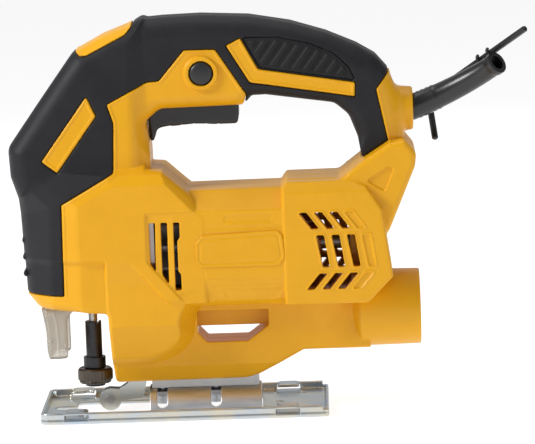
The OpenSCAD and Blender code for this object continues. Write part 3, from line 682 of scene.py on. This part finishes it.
# -------- materials
def finish(name, colour, colour2=None, rough=0.45, rough2=None, metal=0.0, scale=60.0, bump=0.0,
           bump_scale=900.0, stretch=None, edge=0.0, spec=0.5, coat=0.0, through=0.0, ior=1.5):
    """A procedural finish: two tones and two roughnesses mixed by noise, fine relief, softened edges."""
    mat = bpy.data.materials.new(name)
    mat.use_nodes = True
    nt = mat.node_tree
    new, wire = nt.nodes.new, nt.links.new
    for n in list(nt.nodes):
        nt.nodes.remove(n)
    out = new("ShaderNodeOutputMaterial")
    sh = new("ShaderNodeBsdfPrincipled")
    wire(sh.outputs["BSDF"], out.inputs["Surface"])
    co = new("ShaderNodeTexCoord")
    mp = new("ShaderNodeMapping")
    wire(co.outputs["Object"], mp.inputs["Vector"])
    if stretch:
        mp.inputs["Scale"].default_value = stretch
    noise = new("ShaderNodeTexNoise")
    noise.inputs["Scale"].default_value = scale
    noise.inputs["Detail"].default_value = 4.0
    noise.inputs["Roughness"].default_value = 0.6
    wire(mp.outputs["Vector"], noise.inputs["Vector"])
    ramp_c = new("ShaderNodeValToRGB")
    ramp_c.color_ramp.elements[0].position = 0.32
    ramp_c.color_ramp.elements[1].position = 0.70
    ramp_c.color_ramp.elements[0].color = tuple(colour) + (1,)
    ramp_c.color_ramp.elements[1].color = tuple(colour2 or colour) + (1,)
    wire(noise.outputs["Fac"], ramp_c.inputs["Fac"])
    wire(ramp_c.outputs["Color"], sh.inputs["Base Color"])
    rr = new("ShaderNodeMapRange")
    rr.inputs["From Min"].default_value = 0.3
    rr.inputs["From Max"].default_value = 0.7
    rr.inputs["To Min"].default_value = rough
    rr.inputs["To Max"].default_value = rough2 if rough2 is not None else rough + 0.08
    wire(noise.outputs["Fac"], rr.inputs["Value"])
    wire(rr.outputs["Result"], sh.inputs["Roughness"])
    sh.inputs["Metallic"].default_value = metal
    sh.inputs["Specular IOR Level"].default_value = spec
    sh.inputs["IOR"].default_value = ior
    if coat:
        sh.inputs["Coat Weight"].default_value = coat
        sh.inputs["Coat Roughness"].default_value = 0.12
    if through:
        sh.inputs["Transmission Weight"].default_value = through
    last = None
    if edge:
        bev = new("ShaderNodeBevel")
        bev.samples = 4
        bev.inputs["Radius"].default_value = edge * MM
        last = bev.outputs["Normal"]
    if bump:
        fine = new("ShaderNodeTexNoise")
        fine.inputs["Scale"].default_value = bump_scale
        fine.inputs["Detail"].default_value = 3.0
        wire(mp.outputs["Vector"], fine.inputs["Vector"])
        bp = new("ShaderNodeBump")
        bp.inputs["Strength"].default_value = bump
        bp.inputs["Distance"].default_value = 0.0002
        wire(fine.outputs["Fac"], bp.inputs["Height"])
        if last:
            wire(last, bp.inputs["Normal"])
        last = bp.outputs["Normal"]
    if last:
        wire(last, sh.inputs["Normal"])
    return mat


MAT = {
    "yellow_plastic": finish("yellow_plastic", (0.79, 0.385, 0.006), (0.75, 0.36, 0.005), 0.34, 0.40,
        bump=0.25, bump_scale=1500, spec=0.32),
    "black_overmould": finish("black_overmould", (0.014, 0.014, 0.016), (0.019, 0.019, 0.022), 0.50, 0.58,
        bump=0.35, bump_scale=1800, spec=0.22),
    "grip_rubber": finish("grip_rubber", (0.012, 0.012, 0.013), (0.018, 0.018, 0.020), 0.58, 0.68,
        bump=0.4, bump_scale=1400, spec=0.22),
    "black_plastic": finish("black_plastic", (0.014, 0.014, 0.016), (0.020, 0.020, 0.022), 0.34, 0.44,
        bump=0.15, bump_scale=1200, edge=0.3),
    "boot_rubber": finish("boot_rubber", (0.010, 0.010, 0.011), (0.015, 0.015, 0.016), 0.26, 0.36,
        bump=0.1, bump_scale=600, spec=0.55),
    "steel": finish("steel", (0.42, 0.42, 0.43), (0.52, 0.52, 0.53), 0.30, 0.42, 1.0, scale=90,
        stretch=(1, 1, 6), bump=0.15, edge=0.25),
    "zinc_steel": finish("zinc_steel", (0.46, 0.56, 0.68), (0.72, 0.66, 0.50), 0.26, 0.40, 1.0, scale=38,
        bump=0.2, bump_scale=500, edge=0.2),
    # bright_steel's cool blue tint is painted colour that cancels the yellow reflection of the body in the
    # metal; the steel itself is a neutral grey
    "bright_steel": finish("bright_steel", (0.70, 0.76, 0.84), (0.82, 0.85, 0.88), 0.36, 0.46, 1.0,
        scale=60, stretch=(1, 6, 6), bump=0.1, edge=0.2),
    "dark_steel": finish("dark_steel", (0.085, 0.072, 0.060), (0.13, 0.11, 0.095), 0.32, 0.45, 1.0,
        scale=80, bump=0.25, edge=0.25),
    "black_oxide": finish("black_oxide", (0.035, 0.036, 0.040), (0.060, 0.060, 0.064), 0.35, 0.48, 0.85,
        scale=120, bump=0.2, edge=0.2),
    "lamination": finish("lamination", (0.20, 0.20, 0.22), (0.34, 0.34, 0.36), 0.40, 0.55, 1.0, scale=18,
        stretch=(60, 1, 1), bump=0.6, bump_scale=30, edge=0.2),
    "aluminium": finish("aluminium", (0.55, 0.56, 0.57), (0.66, 0.67, 0.68), 0.42, 0.58, 1.0, scale=150,
        bump=0.5, bump_scale=420, edge=0.35),
    "bronze": finish("bronze", (0.42, 0.24, 0.09), (0.56, 0.35, 0.14), 0.34, 0.50, 1.0, scale=140,
        bump=0.35, bump_scale=700, edge=0.25),
    "copper": finish("copper", (0.45, 0.16, 0.06), (0.62, 0.26, 0.10), 0.30, 0.45, 1.0, scale=30,
        stretch=(1, 20, 20), bump=0.7, bump_scale=60, edge=0.3),
    "carbon": finish("carbon", (0.018, 0.018, 0.019), (0.050, 0.050, 0.052), 0.55, 0.72, 0.0, scale=300,
        bump=0.4, edge=0.2),
    "clear_plastic": finish("clear_plastic", (0.66, 0.62, 0.55), (0.72, 0.68, 0.61), 0.22, 0.34, scale=40,
        bump=0.08, through=0.72, ior=1.45),
    "grey_plastic": finish("grey_plastic", (0.30, 0.30, 0.31), (0.36, 0.36, 0.37), 0.42, 0.55, bump=0.3,
        bump_scale=1100, edge=0.3),
    "film": finish("film", (0.46, 0.26, 0.05), (0.56, 0.34, 0.08), 0.22, 0.34, scale=70, bump=0.15,
        coat=0.5, edge=0.3),
}


def piece(ob, body, slot, *nodes):
    """A finished object: the body it rides on and the CAD nodes it stands for; the slot argument, its finish,
    is not used.
    """
    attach(ob, body)
    if nodes:
        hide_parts(*nodes)
    return ob


# -------- the two halves of the body
LIMIT = 172000
PARTING_GAP = 0.05
COVER_DEPTH, COVER_BED, PAD_DEPTH, PAD_BED = 1.95, 2.05, 1.0, 1.1
RIB_PITCH, RIB_HEIGHT = 5.3, 0.8


def body_half(side, tag):
    """One half of the body: yellow shell, black soft cover and ribbed grip pad, all cut from one field."""
    past_seam, reach = -1.5, 35
    span = (-reach, -past_seam) if side < 0 else (past_seam, reach)
    g = Grid(-43, 181, *span, 8, 218, 0.6)
    outer = body_field(g, side)
    seam = PARTING_GAP + (g.y if side < 0 else -g.y)
    # a fine groove where the halves meet
    outer = outer + 0.14 * np.exp(-((g.ay / 0.45) ** 2))
    inner = np.maximum(hollow_field(g, side), seam)
    soft = black_region(g)
    pad = poly2(g.x, g.z, PAD)
    # the shell stands a little proud along the edge of the soft cover
    lip = ramp((soft - 0.1) / 0.5) * ramp((2.1 - soft) / 0.7) * ramp((g.z - 66) / 2)
    bed_for_cover = np.maximum(soft - 0.15, -(outer + COVER_BED))
    yellow = np.maximum(np.maximum(outer - 0.32 * lip, inner), -bed_for_cover)
    ob = solid("shell_" + tag, g, yellow, MAT["yellow_plastic"], LIMIT)
    nodes = ["housing_" + tag, "strut_" + tag, "handle_" + tag] + (["port_block"] if side < 0 else [])
    piece(ob, "main", "yellow_plastic", *nodes)
    # the soft cover rolls down at its edge and leaves a bed for the grip pad
    edge = 0.5 * np.exp(-(((soft + 0.15) / 0.5) ** 2))
    bed = PAD_BED * ramp((0.35 - pad) / 0.5)
    black = rmax(outer - 0.05 + edge + bed, soft + 0.12, 0.3)
    black = np.maximum(np.maximum(black, inner), -(outer + COVER_DEPTH))
    ob = solid("soft_cover_" + tag, g, black, MAT["black_overmould"], LIMIT)
    piece(ob, "main", "black_overmould", "overmould_" + tag)
    # slanting ribs on the pad, fading out at its border and at the seam
    across = (g.x - 118) * 0.80 - (g.z - 190) * 0.60
    wave = np.abs(((across / RIB_PITCH) % 1.0) - 0.5) * 2
    rib = RIB_HEIGHT * ramp((wave - 0.38) / 0.22) * ramp((-1.7 - pad) / 0.5) * ramp((g.ay - 3.0) / 2.0)
    grip = rmax(outer + 0.3 - rib, pad + 0.1, 0.4)
    grip = np.maximum(np.maximum(grip, inner), -(outer + PAD_DEPTH))
    ob = solid("grip_" + tag, g, grip, MAT["grip_rubber"], LIMIT)
    piece(ob, "main", "grip_rubber", "grip_pad_" + tag)


body_half(-1, "left")
body_half(1, "right")


# -------- shoe: sole plate and saddle
SOLE_BACK, SOLE_FRONT, SOLE_W, SOLE_T = 126.3, -28, 37, 2.0
RIM_H, RIM_T, LIP_H, LIP_T = 6.0, 2.0, 4.0, 1.7
ARCH_LEN, ARCH_STEP, ARCH_GAP_TOP = 16.6, 2.0, 4.7


def edge_wall(plan, z, thick, height, soft):
    """A wall that stands on the border of a plan."""
    return rmax(rmax(plan, -(plan + thick), 0.5), np.maximum(-z, z - height), soft)


def sole_plate():
    """The pressed plate with its rim, rolled edge, four arches, blade slot and screw holes."""
    g = Grid(-30, 129, -39, 39, -2, 9.5, 0.5)
    x, ay, z = g.x, g.ay, g.z
    plan = poly2(x, ay, arcs([(SOLE_FRONT, -50), (SOLE_FRONT, SOLE_W, 5), (SOLE_BACK, SOLE_W, 2),
            (SOLE_BACK, -50)]))
    plate = rmax(plan, np.maximum(-z, z - SOLE_T), 0.5)
    # the tall rim ends short of the back edge, where only the low lip goes on
    rim = edge_wall(plan, z, RIM_T, RIM_H, 0.7)
    rim = np.maximum(rim, np.maximum(x - 123.0, 0) * 0.9 - 0.2)
    lip = edge_wall(plan, z, LIP_T, LIP_H, 0.6)
    bead = np.sqrt((plan + 0.8) ** 2 + (z - 0.8) ** 2) - 0.78
    d = rmin(rmin(plate, np.minimum(rim, lip), 0.7), bead, 0.3)
    for x0 in (-17, 96):
        x1 = x0 + ARCH_LEN
        hill = [(x0, 0.5), (x0 + 2.4, 5.6, 1.5), (x0 + 4, 6.4, 1)]
        hill += [(x0 + 12.6, 6.4, 1), (x0 + 14.2, 5.6, 1.5), (x1, 0.5)]
        low, high = x0 + ARCH_STEP, x0 + 14.6
        gap = poly2(x, z, [(low, SOLE_T), (low, ARCH_GAP_TOP), (high, ARCH_GAP_TOP), (high, SOLE_T)])
        arch = rmax(poly2(x, z, arcs(hill)), np.maximum(25.6 - ay, ay - SOLE_W), 0.5)
        d = rmin(d, np.maximum(arch, -gap), 0.4)
        mouth = np.maximum(box3(g, low, high, -60, 60, SOLE_T, ARCH_GAP_TOP), 33.5 - ay)
        d = np.maximum(d, -mouth)
    # the blade's slot with its round end, and the two wide openings behind it
    opening = box3(g, -18, -4, -4.5, 4.5, -3, 4)
    for more in (cyl_z(g, 4.5, -3, 4, -18, 0), box3(g, -10.5, 29.5, -17, 17, -3, 3),
                 box3(g, 29.4, 90.4, -16.6, 16.6, -3, 3)):
        opening = np.minimum(opening, more)
    d = rmax(d, -opening, 0.5)
    for px, py in ((-6, 25), (112, 25), (100, 0)):
        d = rmax(d, -(np.sqrt((x - px) ** 2 + (ay - py) ** 2) - 2.2), 0.35)
    piece(solid("sole_plate", g, d, MAT["zinc_steel"]), "shoe", "zinc_steel", "shoe_plate")


def saddle():
    """The curved saddle over the shoe's opening, with slots along the tilt for the two bolts."""
    g = Grid(27, 93, -21, 21, 0, 15.5, 0.42)
    x, z = g.x, g.z
    centre_z, outer_r, inner_r = -6, 19.5, 17.5
    rad = np.sqrt(g.y ** 2 + (z - centre_z) ** 2)
    ends = np.maximum(np.maximum(29.6 - x, x - 90.4), SOLE_T - z)
    d = rmax(rmax(rad - outer_r, inner_r - rad, 0.35), ends, 0.5)
    tilt = np.degrees(np.arctan2(g.ay, z - centre_z))
    past_end = np.maximum(tilt - 52, 0) * 0.32
    for px in (36.5, 65.5):
        d = rmax(d, -(np.sqrt((x - px) ** 2 + past_end ** 2) - 2.65), 0.3)
    piece(solid("saddle", g, d, MAT["bright_steel"]), "shoe", "bright_steel", "shoe_saddle")


sole_plate()
saddle()


# -------- chip guard, trigger and badge plates
def chip_shield():
    """The clear guard in front of the chuck: a bent tray with a rib and a hook at each side."""
    g = Grid(-29.5, -4.5, -15, 15, 28, 61, 0.4)
    x, ay, z = g.x, g.ay, g.z
    face = arcs([(-27, 58.9), (-24.9, 46.6, 6), (-24.6, 36, 3), (-23.6, 31, 1.2), (-12.9, 31, 2.5),
                 (-12.9, 53, 4), (-10.5, 56, 2), (-7.4, 58, 0.5)])
    outer = rmax(poly2(x, z, face), ay - 13, 2.2)
    tray = [(-25.6, 60), (-23.4, 46.6), (-23.1, 36), (-22, 29), (0, 29), (0, 60)]
    inner = rmax(poly2(x, z, tray), ay - 11.5, 1.2)
    rib_line = arcs([(-21, 60), (-18.6, 49, 8), (-18.2, 38, 4), (-19.2, 26), (-60, 26), (-60, 60)])
    rib = np.abs(poly2(x, z, rib_line)) - 0.45
    d = rmax(outer, -inner, 0.35)
    d = rmin(d, np.maximum(np.maximum(rib, outer), 11.2 - ay), 0.4)
    hook_line = arcs([(-24.4, 36), (-21.8, 36), (-21.6, 33.2, 1), (-18.4, 33.0, 1), (-18.2, 36),
                      (-15.6, 36), (-15.7, 31, 2), (-24.0, 31, 2)])
    hook = np.maximum(poly2(x, z, hook_line), np.abs(ay - 12.2) - 0.8)
    d = rmin(d, rmax(hook, outer, 0.2), 0.3)
    piece(solid("chip_shield", g, d, MAT["clear_plastic"]), "guard", "clear_plastic", "chip_guard")


def trigger_bar():
    """The trigger, hollowed for the fingers, with a seat for its spring and five fine grooves."""
    g = Grid(31, 87, -10, 10, 144, 172, 0.4)
    side_line = arcs([(35.6, 147.3, 0.8), (37.4, 147.3, 0.8), (39, 154.0, 5), (44, 155.0, 2),
                      (82.4, 155.4, 2), (83.2, 160), (83.2, 168, 0.8), (34.1, 168, 0.8), (34.1, 160)])
    d = rmax(poly2(g.x, g.z, side_line), g.ay - 8, 1.8)
    finger_x, finger_z, finger_r = 60, 120.5, 35.1
    d = rmax(d, -(np.sqrt((g.x - finger_x) ** 2 + (g.z - finger_z) ** 2) - finger_r), 1.5)
    d = np.maximum(d, -cyl_z(g, 3.5, 164.6, 175, finger_x, 0))
    for k in range(5):
        d = d + 0.25 * np.exp(-(((g.x - (46 + 6.5 * k)) / 0.7) ** 2)) * ramp((157.5 - g.z) / 1.5)
    piece(solid("trigger_bar", g, d, MAT["black_plastic"]), "trigger", "black_plastic", "trigger")


def badge_fields():
    """A plain raised field with a fine border groove on each flank of the barrel."""
    outline = arcs([(58, 84, 1.5), (61, 81.3, 1.5), (102, 81.3, 2), (105.8, 85.5, 2), (104.4, 98, 2),
                    (102, 100.4, 2), (62, 98.6, 2), (58, 94.5, 2)])
    back_y, face_y, far_y = 30.4, 31.75, 33.4
    plates = []
    for s in (-1, 1):
        g = Grid(54, 110, *((-far_y, -29.5) if s < 0 else (29.5, far_y)), 77, 104, 0.35)
        field = poly2(g.x, g.z, outline)
        d = np.maximum(rmax(field, g.ay - face_y, 0.5), back_y - g.ay)
        d = d + 0.3 * np.exp(-(((field + 2.2) / 0.45) ** 2)) * ramp((g.ay - 31) / 0.5)
        plates.append(solid("badge_part", g, d, MAT["yellow_plastic"]))
    badges = join(plates, "badge_fields")
    shade(badges)
    piece(badges, "main", "yellow_plastic", "badge_plates")


chip_shield()
trigger_bar()
badge_fields()


# -------- lock button and chuck ring
def lock_dome():
    """The domed lock button, turned round its own axis."""
    prof = [(0, 0), (0, 7.6), (1.2, 7.6), (1.2, 6.2), (5.6, 6.2), (6.4, 5.9), (7.0, 5.2), (7.3, 4.2),
            (7.4, 0)]
    dome = lathe("lock_dome", prof, (64, -13.2, 184), (0, -1, 0), MAT["black_plastic"], 72)
    piece(dome, "lock_button", "black_plastic", "lock_button")


def chuck_grip():
    """The chuck's turning ring: a turned body with fine flutes and one lug to push."""
    flutes, flute_from_r, flute_depth, lug_turn = 30, 9.3, 0.016, math.radians(20)
    prof = [(0.3, 5.1), (0.3, 8.2), (0.9, 8.7), (1.8, 8.8), (2.3, 9.4), (6.7, 9.4), (7.6, 9.2), (8.4, 8.5),
            (8.7, 7.2), (4.9, 7.15), (4.9, 5.1)]
    base = lathe("chuck_grip", prof, (0, 0, 15.5), (0, 0, 1), MAT["dark_steel"], 120)
    bm = bmesh.new()
    bm.from_mesh(base.data)
    for v in bm.verts:
        if math.hypot(v.co.x, v.co.y) > flute_from_r * MM:
            k = 1 - flute_depth * (1 + math.cos(flutes * math.atan2(v.co.y, v.co.x)))
            v.co.x *= k
            v.co.y *= k
    lug = bmesh.ops.create_cube(bm, size=1.0)["verts"]
    ca, sa = math.cos(lug_turn), math.sin(lug_turn)
    for v in lug:
        p = Vector((7.6 + v.co.x * 4.2, v.co.y * 3.0, 3.9 + v.co.z * 6.2))
        v.co = Vector((p.x * ca - p.y * sa, p.x * sa + p.y * ca, p.z + 15.9)) * MM
    edges = [e for e in bm.edges if e.verts[0] in lug and e.verts[1] in lug]
    bmesh.ops.bevel(bm, geom=edges, offset=0.0005, segments=2, affect="EDGES")
    bm.to_mesh(base.data)
    bm.free()
    shade(base)
    piece(base, "chuck_ring", "dark_steel", "chuck_ring")


lock_dome()
chuck_grip()


# -------- cord boot with its clips, and the hex key
def heading(rise, swing):
    """The direction that rises from the x axis and swings towards the viewer, by angles in degrees."""
    up, out = math.radians(rise), math.radians(swing)
    return Vector((math.cos(up) * math.cos(out), -math.sin(out), math.sin(up) * math.cos(out)))


def square_to(v, axis):
    """The part of a direction that is square to an axis, at length 1."""
    return (v - axis * v.dot(axis)).normalized()


# the boot leaves the handle in one direction and bends until it runs along the key's long arm
BEND_START, BEND_R, AHEAD, LONG_ARM = Vector((176.2, 0, 160.3)), 80.0, heading(20, 0), heading(38, 36)
BEND = math.acos(AHEAD.dot(LONG_ARM))
INWARD = square_to(LONG_ARM, AHEAD)
BOOT_END = BEND_START + (INWARD * (1 - math.cos(BEND)) + AHEAD * math.sin(BEND)) * BEND_R
# the key lies beside the boot's end, with its short arm turned back and down
FROM_BOOT = square_to(Vector((-0.03, 0.60, 0.80)), LONG_ARM)
SHORT_ARM = square_to(Vector((0.120, -0.591, -0.797)), LONG_ARM)
KEY_MIDDLE = BOOT_END + FROM_BOOT * 8.3
KEY_ELBOW = KEY_MIDDLE - LONG_ARM * 56
KEY_LONG_END, KEY_TIP = KEY_ELBOW + LONG_ARM * 80, KEY_ELBOW + SHORT_ARM * 26
BOOT_SIDES = 40


def boot_tube():
    """The boot: a collar, then a tapering tube on an arc, with five rings, a thick end and a bore."""
    path = [(160.8, 0, 160.0), (164.2, 0, 160.0), (164.3, 0, 160.0), (170, 0, 160.0), (173.4, 0, 160.02)]
    path.append(tuple(BEND_START))
    radii = [8.6, 8.6, 6.3, 6.3, 6.5, 7.0]
    steps = 40
    for i in range(1, steps + 1):
        f = i / steps
        t = BEND * i / steps
        path.append(tuple(BEND_START + (AHEAD * math.sin(t) + INWARD * (1 - math.cos(t))) * BEND_R))
        ring = 0.35 if i in (2, 4, 6, 8, 10) else 0
        radii.append(6.9 - 1.2 * f + ring + (0.5 if f > 0.93 else 0))
    tube = sweep("boot_out", path, radii, MAT["boot_rubber"], sides=BOOT_SIDES, caps=False)
    bore = sweep("boot_in", path, [3.9] * len(path), MAT["boot_rubber"], sides=BOOT_SIDES, caps=False)
    bm = bmesh.new()
    bm.from_mesh(tube.data)
    n0 = len(bm.verts)
    bm.from_mesh(bore.data)
    bm.verts.ensure_lookup_table()
    # flat rings close the wall at both ends
    for first in (0, n0 - BOOT_SIDES):
        for k in range(BOOT_SIDES):
            i, j = first + k, first + (k + 1) % BOOT_SIDES
            bm.faces.new((bm.verts[i], bm.verts[j], bm.verts[n0 + j], bm.verts[n0 + i]))
    bmesh.ops.recalc_face_normals(bm, faces=bm.faces)
    mesh = bpy.data.meshes.new("boot")
    bm.to_mesh(mesh)
    bm.free()
    for o in (tube, bore):
        bpy.data.objects.remove(o)
    boot = link("boot", mesh, MAT["boot_rubber"])
    shade(boot, 40)
    return boot


def boot_with_clips():
    """The boot and the two open clips, each on a foot, that hold the key's long arm."""
    clip_r, wire_r, foot_r = 2.75, 0.95, 1.8
    side_v = LONG_ARM.cross(FROM_BOOT).normalized()
    parts = [boot_tube()]
    for back_off in (7.0, 15.0):
        mid = KEY_MIDDLE - LONG_ARM * (back_off - 3.0)
        turns = [math.radians(-130 + 260 * i / 12) for i in range(13)]
        ring = [mid - FROM_BOOT * (clip_r * math.cos(t)) + side_v * (clip_r * math.sin(t)) for t in turns]
        parts.append(sweep("clip", ring, wire_r, MAT["boot_rubber"], sides=10))
        foot = mid - FROM_BOOT * 2.6
        parts.append(sweep("foot", [foot, foot - FROM_BOOT * 3.4], foot_r, MAT["boot_rubber"], sides=16))
    piece(join(parts, "boot_with_clips"), "main", "boot_rubber", "cord_boot")


def hex_wrench():
    """The bent hex key, with chamfered ends."""
    bend_r, key_r, end_r, chamfer = 4.0, 1.72, 1.45, 0.4
    half = math.acos(max(-1, min(1, LONG_ARM.dot(SHORT_ARM)))) / 2
    cut = bend_r / math.tan(half)
    a0, a1 = KEY_ELBOW + LONG_ARM * cut, KEY_ELBOW + SHORT_ARM * cut
    centre = KEY_ELBOW + (LONG_ARM + SHORT_ARM).normalized() * (bend_r / math.sin(half))
    va, vb = (a0 - centre).normalized(), (a1 - centre).normalized()
    turn, axis = va.angle(vb), va.cross(vb).normalized()
    bend = [centre + Matrix.Rotation(turn * i / 8, 3, axis) @ (va * bend_r) for i in range(9)]
    path = [KEY_LONG_END, KEY_LONG_END - LONG_ARM * chamfer, a0 + (KEY_LONG_END - a0) * 0.5] + bend
    path += [a1 + (KEY_TIP - a1) * 0.5, KEY_TIP - SHORT_ARM * chamfer, KEY_TIP]
    radii = [end_r] + [key_r] * (len(path) - 2) + [end_r]
    key = sweep("hex_wrench", path, radii, MAT["black_oxide"], sides=6)
    shade(key, 25)
    piece(key, "key", "black_oxide", "hex_key")


boot_with_clips()
hex_wrench()


# -------- springs
def trigger_coil():
    """The trigger's return spring."""
    spring = coil("trigger_coil", (60, 0, 164.9), (0, 0, 1), 3.05, 0.7, 7.5, 16.9, MAT["steel"])
    piece(spring, "main", "steel", "trigger_spring")
    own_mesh(spring)


def boxed_coil(name, node, body, axis, wire, turns):
    """A spring that fills a CAD node's box; its axis is 1 for y or 2 for z."""
    lo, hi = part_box(node)
    start = (lo + hi) / 2 / MM
    start[axis] = lo[axis] / MM
    along = [0, 0, 0]
    along[axis] = 1
    length = (hi[axis] - lo[axis]) / MM
    spring = coil(name, start, along, (hi.x - lo.x) / 2 / MM, wire, turns, length, MAT["steel"])
    piece(spring, body, "steel", node)


def brush_coils():
    """A spring behind each carbon brush."""
    pair = [coil("brush_coil", (118, s * 21.0, MOTOR_Z), (0, s, 0), 3.0, 0.6, 5.0, 5.0, MAT["steel"])
            for s in (-1, 1)]
    both = join(pair, "brush_coils")
    shade(both)
    piece(both, "main", "steel", "brush_springs")


trigger_coil()
boxed_coil("lock_coil", "lock_spring", "main", 1, 0.6, 5.5)
boxed_coil("chuck_coil", "chuck_spring", frame["nodes"]["chuck_spring"]["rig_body"], 2, 0.8, 5.0)
brush_coils()


# -------- finishes of the CAD's own pieces
for part in frame["record"]["subparts"]:
    ob = frame["nodes"].get(part["node"])
    if ob:
        ob.data.materials.clear()
        ob.data.materials.append(MAT[part["material_slot"]])


# -------- light, floor, camera
def area(name, place, aim, size, power):
    """A rectangular lamp that faces a point."""
    lamp = bpy.data.lights.new(name, "AREA")
    lamp.shape = "RECTANGLE"
    lamp.size, lamp.size_y = size
    lamp.energy = power
    ob = bpy.data.objects.new(name, lamp)
    bpy.context.scene.collection.objects.link(ob)
    ob.location = place
    ob.rotation_euler = (Vector(aim) - Vector(place)).to_track_quat("-Z", "Y").to_euler()


area("key", (-1.0, -0.46, 0.86), (0.08, 0, 0.09), (0.40, 0.32), 14.5)
area("fill", (1.05, -0.85, 0.45), (0.08, 0, 0.09), (0.7, 0.8), 2.2)
area("top", (0.10, 0.15, 1.15), (0.08, 0, 0.09), (0.9, 0.7), 4.0)
area("back", (0.1, 1.1, 0.7), (0.08, 0, 0.1), (1.4, 0.9), 2)


def studio():
    """A white world, and a wide pale floor that is bright enough to stay white far from the lamps."""
    world = bpy.data.worlds.new("studio")
    world.use_nodes = True
    bg = world.node_tree.nodes["Background"]
    bg.inputs["Color"].default_value = (1.0, 1.0, 1.0, 1)
    bg.inputs["Strength"].default_value = 0.26
    bpy.context.scene.world = world
    bpy.context.scene.view_settings.view_transform = "Standard"
    bm = bmesh.new()
    bmesh.ops.create_circle(bm, cap_ends=True, segments=96, radius=14.0)
    for v in bm.verts:
        v.co.z = -0.0003
    mesh = bpy.data.meshes.new("floor")
    bm.to_mesh(mesh)
    bm.free()
    pale = finish("floor", (0.44, 0.44, 0.44), (0.46, 0.46, 0.46), 0.7, 0.8, scale=3, spec=0.15)
    glow = pale.node_tree.nodes["Principled BSDF"]
    glow.inputs["Emission Color"].default_value = (1, 1, 1, 1)
    glow.inputs["Emission Strength"].default_value = 0.80
    link("floor", mesh, pale)


def camera():
    """The photograph's camera: a long lens, a little above and turned by a degree, rolled by two."""
    az, el, roll = math.radians(1.0), math.radians(8.0), math.radians(2.0)
    distance, sensor, image_w, mm_per_px, target = 2.0, 36.0, 535, 0.54, Vector((0.0964, 0, 0.1005))
    back = Vector((math.sin(az) * math.cos(el), -math.cos(az) * math.cos(el), math.sin(el)))
    right = Vector((math.cos(az), math.sin(az), 0))
    up = back.cross(right)
    image_right = right * math.cos(roll) - up * math.sin(roll)
    image_up = right * math.sin(roll) + up * math.cos(roll)
    cam = bpy.data.cameras.new("camera")
    cam.sensor_width = sensor
    cam.lens = sensor * distance / MM / (image_w * mm_per_px)
    cam.dof.use_dof = False
    ob = bpy.data.objects.new("camera", cam)
    bpy.context.scene.collection.objects.link(ob)
    turn = Matrix((image_right, image_up, back)).transposed().to_4x4()
    ob.matrix_world = Matrix.Translation(target + back * distance) @ turn
    bpy.context.scene.camera = ob


studio()
camera()
